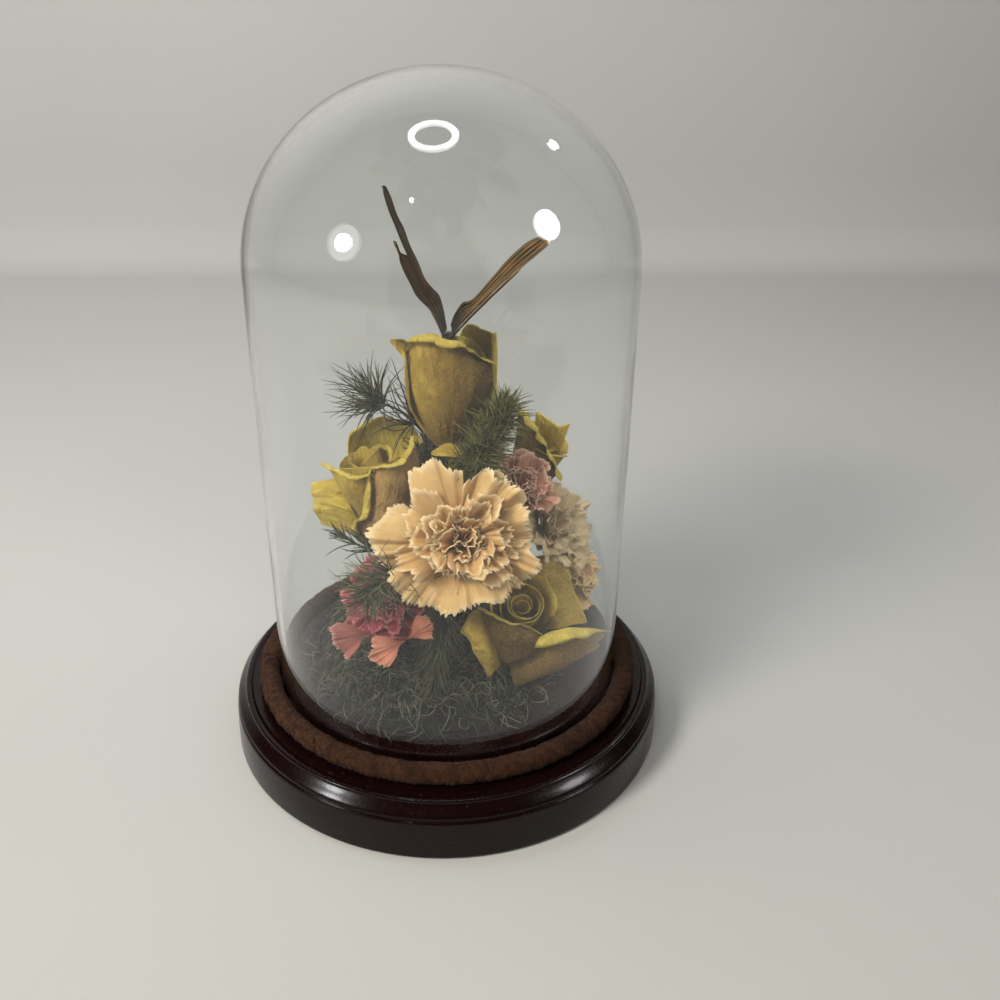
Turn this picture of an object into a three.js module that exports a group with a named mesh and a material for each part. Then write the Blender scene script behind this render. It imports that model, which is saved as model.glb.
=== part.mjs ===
// A butterfly perched on a bouquet of dried roses and carnations, under a glass dome.
// Millimetres, +Z up. The underside of the base lies on Z = 0, the front faces -Y.
import * as THREE from 'three';

// ---- driving dimensions ----
const ROUND_SEGMENTS = 48;
const GAP = 0.3;

const BASE_RADIUS = 89.5;
const SHOULDER_HEIGHT = 16.6;
const GROOVE_DEPTH = 0.7;
const BEAD_RADIUS = 83.9;
const BEAD_HEIGHT = 24.0;
const LEDGE_HEIGHT = 23.4;
const PLINTH_RADIUS = 66.0;
const PLINTH_HEIGHT = 30.0;

const GLASS_RADIUS = 70.0;
const GLASS_WALL = 2.5;
const GLASS_STRAIGHT_TOP = 194.6;
const GLASS_CAP_RISE = 66.3;
const CAP_STEPS = 8;

const CORD_RING_RADIUS = 74.7;
const CORD_RADIUS = 3.9;
const CORD_SIDES = 8;

const MOSS_TOP = 43.0;
const MOSS_CENTRE = [-6, -4];
const STEM_FOOT_HEIGHT = 47.0;
const STEM_RADIUS = 1.3;
const CALYX_RADIUS = 3.4;

// Each rose stands on its calyx: where that is, the way the bloom faces, and its size.
// Each row of petals has its own radius and height as a share of the bloom's.
const ROSES = {
  top_rose: {
    calyx: [1, 3, 128],
    facing: [0, -0.05, 1],
    radius: 16,
    height: 38,
    flare: 0,
    rows: [[1, 1, 2], [0.74, 0.9, 2]],
  },
  left_rose: {
    calyx: [-23.5, -1, 82],
    facing: [-0.1, 0, 0.99],
    radius: 17,
    height: 36,
    flare: 0.2,
    rows: [[0.62, 1, 3], [1, 0.95, 3]],
  },
  front_rose: {
    calyx: [27, -20, 54],
    facing: [0.06, -0.56, 0.83],
    radius: 21,
    height: 26,
    flare: 0.2,
    rows: [[0.58, 1, 3], [1, 0.92, 3]],
  },
  back_rose: {
    calyx: [30, 14, 98],
    facing: [0.36, 0.02, 0.93],
    radius: 12.5,
    height: 25,
    flare: 0.25,
    rows: [[0.66, 1, 2], [1, 1, 2]],
  },
};
const ROSE_HEART_SHARE = 0.36;
const PETAL_THICKNESS = 0.9;

// Each ruffled bloom is one flared head on a stem.
const BLOOMS = {
  front_carnation: { calyx: [5, -27, 98], facing: [0, -0.85, 0.53], radius: 30, height: 18 },
  pink_bloom: { calyx: [27, -3, 104], facing: [0.2, -0.5, 0.84], radius: 11, height: 16 },
  beige_carnation: { calyx: [37, 3, 86], facing: [0.6, -0.5, 0.62], radius: 12.5, height: 15 },
  peach_carnation: { calyx: [43.5, -4, 67.5], facing: [0.8, -0.42, 0.42], radius: 11, height: 13 },
  red_bloom: { calyx: [-18, -14, 62], facing: [-0.42, -0.75, 0.51], radius: 15, height: 15 },
};

// Fern sprigs as spindles that reach their needle tips: root, bend and tip, then the radius.
const FERNS = {
  fern_upper_left: { route: [[-9, 14, 128], [-21, 14, 140], [-38, 12, 143]], radius: 6 },
  fern_upper_right: { route: [[13, -12, 117], [17, -16, 130], [23, -15, 145]], radius: 8 },
  fern_middle_left: { route: [[-29, -20, 90], [-38, -18, 94], [-48, -14, 97]], radius: 4.5 },
  fern_lower_left: { route: [[-23, -41, 88], [-30, -42, 84], [-38, -38, 79]], radius: 6 },
  fern_front: { route: [[0, -28, 72], [-3, -34, 60], [-5, -37, 47]], radius: 5 },
  fern_back: { route: [[2, 22, 86], [2, 32, 104], [-4, 38, 122]], radius: 7 },
};

// Loose petals: centre, facing of the petal's inner side, length and width.
const LOOSE_PETALS = {
  loose_yellow_petal: { centre: [3, -13, 127], facing: [0.05, -0.6, 0.8], length: 8, width: 9 },
  loose_salmon_petal: { centre: [-18, -38, 60], facing: [0.1, -0.8, 0.6], length: 14, width: 20 },
  loose_pink_petal: { centre: [-37, -30, 57], facing: [-0.2, -0.7, 0.7], length: 12, width: 15 },
};

// The butterfly: the body's middle and line, and where the two sides' wings start.
const BODY_MIDDLE = [1.6, -0.5, 167.6];
const BODY_DIRECTION = [0.05, 0.98, -0.17];
const BODY_LENGTH = 18;
const BODY_RADIUS = 2.2;
const WING_THICKNESS = 0.8;
const WING_ROOTS = { left: [0.1, -0.5, 170], right: [3.1, -0.5, 170] };

// Each wing has a span direction and a chord direction, which runs away from the front.
// A row of its outline is [distance along the span, near edge, far edge].
const WING_AXES = {
  left: { span: [-0.355, 0, 0.935], chord: [0.12, 0.97, 0] },
  right: { span: [0.72, 0, 0.69], chord: [-0.15, 0.97, 0] },
};
// The hind part, past t = -from, leaves the wing's plane by rate per millimetre; on the left the
// bend dies out between s = fade[0] and fade[1].
const WING_CAMBER = {
  left: { from: 3, rate: -0.3, fade: [12, 22] },
  right: { from: 1, rate: 0.34, fade: null },
};
const WING_OUTLINES = {
  forewing_left: [
    [0, -0.5, 8], [4, -0.5, 15], [9, -0.6, 18.5], [14, -0.8, 13.5], [20, -1, 8.6], [27, -1.2, 8.6],
    [34, -1.8, 6.6], [40, -2.8, 6.4], [46, -4.2, 3.6], [52, -4.8, 3.4], [55.5, -3.6, 2], [56.5, -1.8, 0.2],
  ],
  hindwing_left: [
    [0, -6, -1.2], [4, -10, -1.2], [10, -13, -1.3], [15, -13.5, -1.5], [20, -13, -1.7], [27, -14, -1.9],
    [32, -15.6, -3], [34, -15.4, -8], [36.5, -13.8, -11.6], [40.5, -13.2, -12.6],
  ],
  forewing_right: [
    [0, 1.2, 8], [3, 1.2, 13], [7.7, 1.2, 15.5], [11.5, 1.2, 10.8], [17.4, 1, 10.4], [24.3, 0.6, 13],
    [31, 0, 14.8], [37.7, -1.4, 16], [42.9, -1.6, 13.9], [47, -1, 10.8], [48.6, -0.4, 9.4],
  ],
  hindwing_right: [
    [0, -6, 0.5], [5, -10, 0.5], [12, -13, 0.4], [20, -14, 0.2], [27, -12, -0.1], [32, -8, -0.6], [34.5, -4.5, -1.2],
  ],
};

// ---- materials ----
function finish(colour, roughness, options = {}) {
  return new THREE.MeshStandardMaterial({ color: colour, roughness, metalness: 0, ...options });
}

const lacqueredWood = finish(0x1c1614, 0.3);
const brownCord = finish(0x6b4430, 0.9);
const clearGlass = finish(0xf4f7f6, 0.03, { transparent: true, opacity: 0.2 });
const mossGreen = finish(0x50553f, 0.95);
const fernGreen = finish(0x49503c, 0.9);
const stemGreen = finish(0x5d5a3a, 0.85);
const rosePetal = finish(0xc9ae45, 0.75);
const creamPetal = finish(0xdfc290, 0.8);
const dustyPink = finish(0xb08476, 0.85);
const beigePetal = finish(0xa99676, 0.85);
const raspberryPetal = finish(0x96404a, 0.85);
const salmonPetal = finish(0xc9806c, 0.85);
const wingBrown = finish(0x5a4433, 0.8);
const bodyBrown = finish(0x3b2c24, 0.9);

const group = new THREE.Group();

function addPiece(name, geometry, material) {
  const mesh = new THREE.Mesh(geometry, material);
  mesh.name = name;
  group.add(mesh);
  return mesh;
}

function vector(list) {
  return new THREE.Vector3(...list);
}

// A profile of [radius, height] pairs turned about the Z axis; it runs from the axis below,
// round the outside, to the axis above.
function turned(profile, segments) {
  const points = profile.map(([radius, height]) => new THREE.Vector2(radius, height));
  const geometry = new THREE.LatheGeometry(points, segments);
  geometry.rotateX(Math.PI / 2);
  return geometry;
}

// Turns a mesh that grows along +Z so that it grows along `facing`, from the point `at`.
function stand(mesh, at, facing) {
  mesh.position.set(...at);
  const direction = vector(facing).normalize();
  mesh.quaternion.setFromUnitVectors(new THREE.Vector3(0, 0, 1), direction);
}

// A closed body from a grid of points: two skins half a thickness each side of
// surface(u, v), joined round the edge.
function thinBody(surface, columns, rows, thickness) {
  const step = 1e-3;
  const positions = [];
  const indices = [];
  const rowSize = columns + 1;
  const skinSize = rowSize * (rows + 1);
  for (const side of [0.5, -0.5]) {
    for (let j = 0; j <= rows; j += 1) {
      for (let i = 0; i <= columns; i += 1) {
        const u = i / columns;
        const v = j / rows;
        const point = surface(u, v);
        const alongU = surface(u + step, v).sub(surface(u - step, v));
        const alongV = surface(u, v + step).sub(surface(u, v - step));
        const normal = alongU.cross(alongV).normalize();
        point.addScaledVector(normal, side * thickness);
        positions.push(point.x, point.y, point.z);
      }
    }
  }
  for (let j = 0; j < rows; j += 1) {
    for (let i = 0; i < columns; i += 1) {
      const a = j * rowSize + i;
      const b = a + 1;
      const c = a + rowSize;
      const d = c + 1;
      indices.push(a, b, d, a, d, c);
      indices.push(a + skinSize, d + skinSize, b + skinSize);
      indices.push(a + skinSize, c + skinSize, d + skinSize);
    }
  }
  const edge = [];
  for (let i = 0; i < columns; i += 1) edge.push(i);
  for (let j = 0; j < rows; j += 1) edge.push(j * rowSize + columns);
  for (let i = columns; i > 0; i -= 1) edge.push(rows * rowSize + i);
  for (let j = rows; j > 0; j -= 1) edge.push(j * rowSize);
  edge.forEach((top, index) => {
    const next = edge[(index + 1) % edge.length];
    indices.push(top + skinSize, next + skinSize, next);
    indices.push(top + skinSize, next, top);
  });
  return indexedGeometry(positions, indices);
}

// A body swept along a smooth line through `route`, with its own radius at each step,
// closed by a point at both ends.
function sweptBody(route, radiusAt, sides, steps) {
  const curve = new THREE.CatmullRomCurve3(route.map(vector));
  const frames = curve.computeFrenetFrames(steps, false);
  const positions = [];
  const indices = [];
  for (let i = 0; i <= steps; i += 1) {
    const centre = curve.getPointAt(i / steps);
    for (let k = 0; k < sides; k += 1) {
      const angle = (2 * Math.PI * k) / sides;
      const point = centre.clone();
      point.addScaledVector(frames.normals[i], Math.cos(angle) * radiusAt(i / steps));
      point.addScaledVector(frames.binormals[i], Math.sin(angle) * radiusAt(i / steps));
      positions.push(point.x, point.y, point.z);
    }
  }
  const start = positions.length / 3;
  positions.push(...curve.getPointAt(0).toArray(), ...curve.getPointAt(1).toArray());
  for (let k = 0; k < sides; k += 1) {
    const next = (k + 1) % sides;
    for (let i = 0; i < steps; i += 1) {
      const a = i * sides + k;
      const b = i * sides + next;
      indices.push(a, b, a + sides, b, b + sides, a + sides);
    }
    indices.push(start, next, k);
    indices.push(start + 1, steps * sides + k, steps * sides + next);
  }
  return indexedGeometry(positions, indices);
}

function indexedGeometry(positions, indices) {
  const geometry = new THREE.BufferGeometry();
  geometry.setAttribute('position', new THREE.Float32BufferAttribute(positions, 3));
  geometry.setIndex(indices);
  geometry.computeVertexNormals();
  return geometry;
}

// ---- base, cord and dome ----
// Turned wood: an upright foot, a fine groove, an ogee up to a bead, the ledge that the
// glass stands on, and a raised plinth inside the glass.
function base() {
  const profile = [
    [0, 0],
    [BASE_RADIUS - 1, 0],
    [BASE_RADIUS, 1],
    [BASE_RADIUS - 0.6, SHOULDER_HEIGHT],
    [BASE_RADIUS - 0.6 - GROOVE_DEPTH, SHOULDER_HEIGHT + GROOVE_DEPTH],
    [BEAD_RADIUS + 4.4, SHOULDER_HEIGHT + 2.4],
    [BEAD_RADIUS + 2.6, SHOULDER_HEIGHT + 4.6],
    [BEAD_RADIUS + 0.6, BEAD_HEIGHT - 1.6],
    [BEAD_RADIUS, BEAD_HEIGHT],
    [BEAD_RADIUS - 1.6, BEAD_HEIGHT],
    [BEAD_RADIUS - 2.4, LEDGE_HEIGHT],
    [PLINTH_RADIUS, LEDGE_HEIGHT],
    [PLINTH_RADIUS, PLINTH_HEIGHT - 0.6],
    [PLINTH_RADIUS - 0.6, PLINTH_HEIGHT],
    [0, PLINTH_HEIGHT],
  ];
  addPiece('base', turned(profile, ROUND_SEGMENTS), lacqueredWood);
}

// The cord lies in the angle between ledge and glass, all the way round.
function trimCord() {
  const profile = [];
  for (let k = 0; k <= CORD_SIDES; k += 1) {
    const angle = (2 * Math.PI * k) / CORD_SIDES;
    const height = LEDGE_HEIGHT + GAP + CORD_RADIUS * (1 + Math.sin(angle));
    profile.push([CORD_RING_RADIUS + CORD_RADIUS * Math.cos(angle), height]);
  }
  addPiece('trim_cord', turned(profile, ROUND_SEGMENTS), brownCord);
}

function domeProfile(radius, rise) {
  const points = [];
  for (let k = 0; k <= CAP_STEPS; k += 1) {
    const angle = (Math.PI / 2) * (k / CAP_STEPS);
    points.push([radius * Math.cos(angle), GLASS_STRAIGHT_TOP + rise * Math.sin(angle)]);
  }
  points[CAP_STEPS][0] = 0;
  return points;
}

function glassDome() {
  const rimHeight = LEDGE_HEIGHT + GAP;
  const inner = domeProfile(GLASS_RADIUS - GLASS_WALL, GLASS_CAP_RISE - GLASS_WALL).reverse();
  const outer = domeProfile(GLASS_RADIUS, GLASS_CAP_RISE);
  const rim = [[GLASS_RADIUS - GLASS_WALL, rimHeight], [GLASS_RADIUS, rimHeight]];
  addPiece('glass_dome', turned([...inner, ...rim, ...outer], ROUND_SEGMENTS), clearGlass);
}

// ---- bouquet ----
// A low lobed cushion of moss, with a dip round the middle where the stems go in.
function mossMound() {
  const floor = PLINTH_HEIGHT + GAP;
  const rings = [[0.3, 0.75], [0.6, 1], [0.85, 0.7], [1, 0.15]];
  const profile = [[0, floor], [1, floor]];
  [...rings].reverse().forEach(([share, lift]) => {
    profile.push([share, floor + lift * (MOSS_TOP - floor)]);
  });
  profile.push([0, floor + 0.7 * (MOSS_TOP - floor)]);
  const geometry = turned(profile, 24);
  const place = geometry.getAttribute('position');
  for (let i = 0; i < place.count; i += 1) {
    const angle = Math.atan2(place.getY(i), place.getX(i));
    const reach = 50 + 3 * Math.sin(3 * angle + 0.6) + 2 * Math.cos(5 * angle);
    place.setXY(i, MOSS_CENTRE[0] + place.getX(i) * reach, MOSS_CENTRE[1] + place.getY(i) * reach);
  }
  addPiece('moss_mound', geometry, mossGreen);
}

// A stem with its calyx grown on: the foot stands on the moss, and the calyx widens
// under the bloom.
function stem(name, calyx, facing) {
  const top = vector(calyx);
  const neck = Math.min(14, 0.6 * (calyx[2] - STEM_FOOT_HEIGHT));
  const below = top.clone().addScaledVector(vector(facing).normalize(), -neck);
  const foot = new THREE.Vector3(calyx[0] * 0.3, calyx[1] * 0.3 + 4, STEM_FOOT_HEIGHT);
  const middle = below.clone().lerp(foot, 0.5);
  const route = [foot.toArray(), middle.toArray(), below.toArray(), top.toArray()];
  const length = new THREE.CatmullRomCurve3(route.map(vector)).getLength();
  const radiusAt = (t) => {
    const fromTop = (1 - t) * length;
    const swell = Math.max(0, 1 - fromTop / 9);
    return STEM_RADIUS + (CALYX_RADIUS - STEM_RADIUS) * Math.min(1, 1.6 * swell);
  };
  addPiece(name, sweptBody(route, radiusAt, 5, 9), stemGreen);
}

// One petal of a cup: it starts narrow at the calyx, follows the cup's wall and rolls
// out at the rim. `turn` is the middle of the petal round the bloom's axis.
function cupPetal(rose, radius, height, turn, halfAngle) {
  const surface = (u, v) => {
    const across = 2 * u - 1;
    const angle = turn + across * halfAngle * (0.55 + 0.45 * Math.sin(Math.PI * Math.min(v, 0.6)));
    const wall = 0.32 + 0.68 * Math.sin((Math.PI / 2) * Math.min(1, 0.12 + v)) ** 1.2;
    const reach = radius * (wall + rose.flare * v ** 3);
    const rise = height * (v - 0.1 * across ** 2 * v ** 2);
    return new THREE.Vector3(reach * Math.cos(angle), reach * Math.sin(angle), rise);
  };
  return thinBody(surface, 5, 4, PETAL_THICKNESS);
}

function rose(name, bloom) {
  const lift = vector(bloom.facing).normalize().multiplyScalar(GAP + 0.6);
  const seat = vector(bloom.calyx).add(lift).toArray();
  const heartRadius = bloom.radius * ROSE_HEART_SHARE;
  const heart = addPiece(`${name}_heart`, turned([
    [0, 0],
    [heartRadius * 0.45, 0],
    [heartRadius * 0.95, bloom.height * 0.4],
    [heartRadius, bloom.height * 0.65],
    [heartRadius * 0.8, bloom.height * 0.92],
    [heartRadius * 0.4, bloom.height * 0.95],
    [0, bloom.height * 0.84],
  ], 10), rosePetal);
  stand(heart, seat, bloom.facing);
  let petalNumber = 0;
  bloom.rows.forEach(([radiusShare, heightShare, count], row) => {
    for (let k = 0; k < count; k += 1) {
      petalNumber += 1;
      const turn = (2 * Math.PI * (k + 0.5 * row)) / count - Math.PI / 2;
      const halfAngle = (Math.PI / count) * 0.9;
      const radius = bloom.radius * radiusShare;
      const geometry = cupPetal(bloom, radius, bloom.height * heightShare, turn, halfAngle);
      const petal = addPiece(`${name}_petal_${petalNumber}`, geometry, rosePetal);
      stand(petal, seat, bloom.facing);
    }
  });
  stem(`${name}_stem`, bloom.calyx, bloom.facing);
}

// A ruffled head: a flared cone with a scalloped edge and a domed face.
function ruffledBloom(name, bloom, material) {
  const { radius, height } = bloom;
  const head = turned([
    [0, 0],
    [2.6, 0],
    [radius * 0.3, height * 0.35],
    [radius * 0.75, height * 0.55],
    [radius, height * 0.7],
    [radius * 0.85, height * 0.86],
    [radius * 0.45, height],
    [0, height * 0.92],
  ], 16);
  const place = head.getAttribute('position');
  for (let i = 0; i < place.count; i += 1) {
    const angle = Math.atan2(place.getY(i), place.getX(i));
    const scallop = 1 + 0.05 * Math.cos(8 * angle);
    place.setXY(i, place.getX(i) * scallop, place.getY(i) * scallop);
  }
  const lift = vector(bloom.facing).normalize().multiplyScalar(GAP);
  const piece = addPiece(name, head, material);
  stand(piece, vector(bloom.calyx).add(lift).toArray(), bloom.facing);
  stem(`${name}_stem`, bloom.calyx, bloom.facing);
}

function fern(name, { route, radius }) {
  const radiusAt = (t) => radius * (0.25 + 0.75 * Math.sin(Math.PI * (0.1 + 0.75 * t)));
  addPiece(name, sweptBody(route, radiusAt, 7, 7), fernGreen);
}

function loosePetal(name, { centre, facing, length, width }, material) {
  const surface = (u, v) => {
    const across = 2 * u - 1;
    const along = v - 0.5;
    const half = (width / 2) * (0.35 + 0.65 * Math.sin(Math.PI * (0.1 + 0.8 * v)));
    return new THREE.Vector3(across * half, along * length, 1.6 * across ** 2 + 2 * along ** 2);
  };
  stand(addPiece(name, thinBody(surface, 4, 4, PETAL_THICKNESS), material), centre, facing);
}

// ---- butterfly ----
// The wings' frame: s runs out along the span, t along the chord, both in millimetres.
// The surface bows by sin(0.055 s), its hind part is bent out by WING_CAMBER, and its edges
// join the outline's rows.
function camber({ from, rate, fade }, s, t) {
  const bend = rate * Math.max(0, -t - from);
  if (!fade) return bend;
  const share = Math.min(Math.max((fade[1] - s) / (fade[1] - fade[0]), 0), 1);
  return bend * share * share * (3 - 2 * share);
}

function wing(name, side, rows) {
  const span = vector(WING_AXES[side].span).normalize();
  const chord = vector(WING_AXES[side].chord);
  chord.addScaledVector(span, -chord.dot(span)).normalize();
  const normal = span.clone().cross(chord).normalize();
  const root = vector(WING_ROOTS[side]);
  const surface = (u, v) => {
    const at = Math.min(Math.max(v, 0), 1) * (rows.length - 1);
    const index = Math.min(Math.floor(at), rows.length - 2);
    const [s, near, far] = rows[index].map((value, k) => value + (rows[index + 1][k] - value) * (at - index));
    const t = near + (far - near) * u;
    const bow = Math.sin(0.055 * s) + camber(WING_CAMBER[side], s, t);
    const point = root.clone().addScaledVector(span, s);
    return point.addScaledVector(chord, t).addScaledVector(normal, bow);
  };
  addPiece(name, thinBody(surface, 4, rows.length - 1, WING_THICKNESS), wingBrown);
}

function butterfly() {
  const along = vector(BODY_DIRECTION).normalize();
  const tail = vector(BODY_MIDDLE).addScaledVector(along, -BODY_LENGTH * 0.5);
  const head = vector(BODY_MIDDLE).addScaledVector(along, BODY_LENGTH * 0.5);
  const route = [tail.toArray(), BODY_MIDDLE, head.toArray()];
  const radiusAt = (t) => BODY_RADIUS * (0.35 + 0.65 * Math.sin(Math.PI * (0.08 + 0.84 * t)));
  addPiece('butterfly_body', sweptBody(route, radiusAt, 8, 8), bodyBrown);
  for (const [name, rows] of Object.entries(WING_OUTLINES)) wing(name, name.split('_')[1], rows);
}

base();
trimCord();
glassDome();
mossMound();
for (const [name, bloom] of Object.entries(ROSES)) rose(name, bloom);
const bloomColours = {
  front_carnation: creamPetal,
  pink_bloom: dustyPink,
  beige_carnation: beigePetal,
  peach_carnation: creamPetal,
  red_bloom: raspberryPetal,
};
for (const [name, bloom] of Object.entries(BLOOMS)) ruffledBloom(name, bloom, bloomColours[name]);
for (const [name, sprig] of Object.entries(FERNS)) fern(name, sprig);
loosePetal('loose_yellow_petal', LOOSE_PETALS.loose_yellow_petal, rosePetal);
loosePetal('loose_salmon_petal', LOOSE_PETALS.loose_salmon_petal, salmonPetal);
loosePetal('loose_pink_petal', LOOSE_PETALS.loose_pink_petal, dustyPink);
butterfly();

export default group;
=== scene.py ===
"""A butterfly perched on dried roses and carnations, under a glass dome on a lacquered base.

Every new surface is a formula on a grid of two parameters, or a profile carried along a path:
- turned piece: a radius for each height, turned about the Z axis;
- cup petal: a wall that widens from the calyx, and an arc that rolls its rim out;
- fan petal: a claw that opens into a pleated fan, with teeth on its outer edge;
- sheet through guide points: a small net of points, joined by smooth splines both ways,
  and carried on round a thin cylinder at the edges that curl;
- tube: a ring of points carried along a line, with its own radius at each step;
- wing: span times one line plus width times another, between two edge curves.
Lengths in the functions are millimetres; meshes are written in metres.
"""
import bpy
import numpy as np
from mathutils import Matrix, Vector


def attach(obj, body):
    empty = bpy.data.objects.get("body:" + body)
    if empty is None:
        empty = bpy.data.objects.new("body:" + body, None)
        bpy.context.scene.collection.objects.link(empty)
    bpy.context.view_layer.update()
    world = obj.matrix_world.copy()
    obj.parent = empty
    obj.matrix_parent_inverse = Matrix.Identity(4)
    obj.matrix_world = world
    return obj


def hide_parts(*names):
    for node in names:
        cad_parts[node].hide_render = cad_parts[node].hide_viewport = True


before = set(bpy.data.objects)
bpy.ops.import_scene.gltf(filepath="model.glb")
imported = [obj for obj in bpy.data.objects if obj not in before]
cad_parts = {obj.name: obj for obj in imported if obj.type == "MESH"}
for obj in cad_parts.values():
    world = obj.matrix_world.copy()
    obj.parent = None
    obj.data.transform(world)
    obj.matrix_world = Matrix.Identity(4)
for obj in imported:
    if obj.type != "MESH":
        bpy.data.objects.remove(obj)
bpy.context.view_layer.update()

# %% [markdown]
# The camera comes first, because it decides how large each detail has to be. It looks
# down at the dome by 27 degrees from the front, as a person at a table would.
# An aimed camera could use a Track To constraint. Three angles are used here, because
# they also hold the slight lean of a camera in the hand.

# %% Camera
camera_place = Vector((0, -0.36498, 0.29012))
down, aside, lean = np.radians([27.32, 3.337, 0.80])
forward = Vector((np.sin(aside) * np.cos(down), np.cos(aside) * np.cos(down), -np.sin(down)))
level = Vector((np.cos(aside), -np.sin(aside), 0))
upward = level.cross(forward)
camera_right = level * np.cos(lean) + upward * np.sin(lean)
camera_up = upward * np.cos(lean) - level * np.sin(lean)
camera_data = bpy.data.cameras.new("camera")
camera_data.lens = 37.31
camera_data.sensor_width = 36
camera = bpy.data.objects.new("camera", camera_data)
bpy.context.scene.collection.objects.link(camera)
turn = Matrix((camera_right, camera_up, -forward)).transposed()
camera.matrix_world = Matrix.Translation(camera_place) @ turn.to_4x4()
bpy.context.scene.camera = camera
print("camera", round(camera_place.length, 3), "m from the origin")

# %% [markdown]
# A mesh is a list of points and a list of faces. numpy works out all the points of a
# piece at once, and foreach_set hands them to Blender in one call. A loop over the
# points would do the same, but a hundred times slower.
# Each piece is kept as a "form": its points, quads, triangles, and a few numbers per
# point that its material reads later, such as which side of a petal the point is on.

# %% Forms
def form(points, quads=(), tris=(), **values):
    """A form from points in mm, quads and triangles as point numbers, and values per point."""
    points = np.asarray(points, float).reshape(-1, 3)
    quads = np.asarray(quads, int).reshape(-1, 4)
    tris = np.asarray(tris, int).reshape(-1, 3)
    kept = {key: np.broadcast_to(value, len(points)).astype(float) for key, value in values.items()}
    return {"points": points, "quads": quads, "tris": tris, "values": kept}


def join(forms):
    """One form from several: face numbers shift by the points that come before."""
    starts = np.cumsum([0] + [len(each["points"]) for each in forms])
    keys = set(key for each in forms for key in each["values"])
    values = {}
    for key in sorted(keys):
        parts = [each["values"].get(key, np.zeros(len(each["points"]))) for each in forms]
        values[key] = np.concatenate(parts)
    points = np.concatenate([each["points"] for each in forms])
    quads = np.concatenate([each["quads"] + start for each, start in zip(forms, starts)])
    tris = np.concatenate([each["tris"] + start for each, start in zip(forms, starts)])
    return form(points, quads, tris, **values)


def piece(name, shape, material, slot, *nodes):
    mesh = bpy.data.meshes.new(name)
    quads, tris = shape["quads"], shape["tris"]
    mesh.vertices.add(len(shape["points"]))
    mesh.vertices.foreach_set("co", (shape["points"] / 1000).astype(np.float32).ravel())
    mesh.loops.add(quads.size + tris.size)
    mesh.loops.foreach_set("vertex_index", np.concatenate([quads.ravel(), tris.ravel()]))
    mesh.polygons.add(len(quads) + len(tris))
    starts = [np.arange(len(quads)) * 4, quads.size + np.arange(len(tris)) * 3]
    mesh.polygons.foreach_set("loop_start", np.concatenate(starts))
    mesh.polygons.foreach_set("use_smooth", np.ones(len(quads) + len(tris), bool))
    mesh.update(calc_edges=True)
    for key, values in shape["values"].items():
        attribute = mesh.attributes.new(key, "FLOAT", "POINT")
        attribute.data.foreach_set("value", values.astype(np.float32))
    mesh.materials.append(material)
    made = bpy.data.objects.new(name, mesh)
    bpy.context.scene.collection.objects.link(made)
    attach(made, "root")
    if nodes:
        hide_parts(*nodes)
    print(name, len(quads) * 2 + len(tris), "triangles")


def unit(vectors):
    """Vectors scaled to length one."""
    return vectors / np.maximum(np.linalg.norm(vectors, axis=-1, keepdims=True), 1e-12)


def polar(radius, angle, height):
    """Points at radius cos a, radius sin a and height."""
    return np.stack(np.broadcast_arrays(radius * np.cos(angle), radius * np.sin(angle), height), -1)


def spokes(heading, helper, angle):
    """Unit vectors square to a heading; the helper vector sets where angle 0 is."""
    first = unit(np.cross(heading, helper))
    return np.cos(angle) * first + np.sin(angle) * np.cross(heading, first)


def normals(grid):
    """Unit normals of a grid of points, shaped (..., rows, columns, 3)."""
    return unit(np.cross(np.gradient(grid, axis=-2), np.gradient(grid, axis=-3)))


def grid_quads(rows, columns, wrap=False):
    """Quads of a grid numbered row by row; wrap joins the last column to the first."""
    row, column = np.meshgrid(np.arange(rows - 1), np.arange(columns - (not wrap)), indexing="ij")
    here = row * columns + column
    beside = row * columns + (column + 1) % columns
    return np.stack([here, beside, beside + columns, here + columns], -1).reshape(-1, 4)


def smoothstep(low, high, value):
    """0 below low, 1 above high, and an S curve between them."""
    share = np.clip((value - low) / (high - low), 0, 1)
    return share * share * (3 - 2 * share)

# %% [markdown]
# A material is a small graph of nodes. new_finish() puts an empty one on the bench, and
# the other helpers add a node to the one that is there, and plug numbers, colours or
# nodes into it. They keep each recipe below to a few lines.
# Colours are written as they look on a screen. Blender works in linear light, so tint()
# converts them once. Patterns use Object coordinates, in metres, or a piece's own
# attributes, because both stay put when the piece is seen from another side.

# %% Material helpers
bench = {}


def tint(code):
    """A screen colour such as c9ae45 as linear RGBA."""
    parts = np.array([int(code[k:k + 2], 16) for k in (0, 2, 4)]) / 255
    linear = np.where(parts < 0.04045, parts / 12.92, ((parts + 0.055) / 1.055) ** 2.4)
    return (*[float(part) for part in linear], 1.0)


def plug(target, inputs):
    """Sets or links a node's inputs, given by name or number."""
    for key, value in inputs.items():
        if isinstance(value, bpy.types.Node):
            value = value.outputs[0]
        if isinstance(value, bpy.types.NodeSocket):
            bench["tree"].links.new(value, target.inputs[key])
        else:
            target.inputs[key].default_value = value


def add_node(kind, inputs=None, **settings):
    """Adds one shader node with its settings and inputs."""
    made = bench["tree"].nodes.new("ShaderNode" + kind)
    for key, value in settings.items():
        setattr(made, key, value)
    plug(made, inputs or {})
    return made


def principled(inputs):
    """Sets or links inputs of the Principled shader."""
    plug(bench["tree"].nodes["Principled BSDF"], inputs)


def surface(shader):
    """Makes this shader the material's surface."""
    plug(bench["tree"].nodes["Material Output"], {"Surface": shader})


def new_finish(name, roughness=0.7, specular=0.5):
    """An empty material with its Principled shader, laid on the bench."""
    material = bpy.data.materials.new(name)
    material.use_nodes = True
    bench["tree"] = material.node_tree
    principled({"Roughness": roughness, "Specular IOR Level": specular})
    return material


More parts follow.
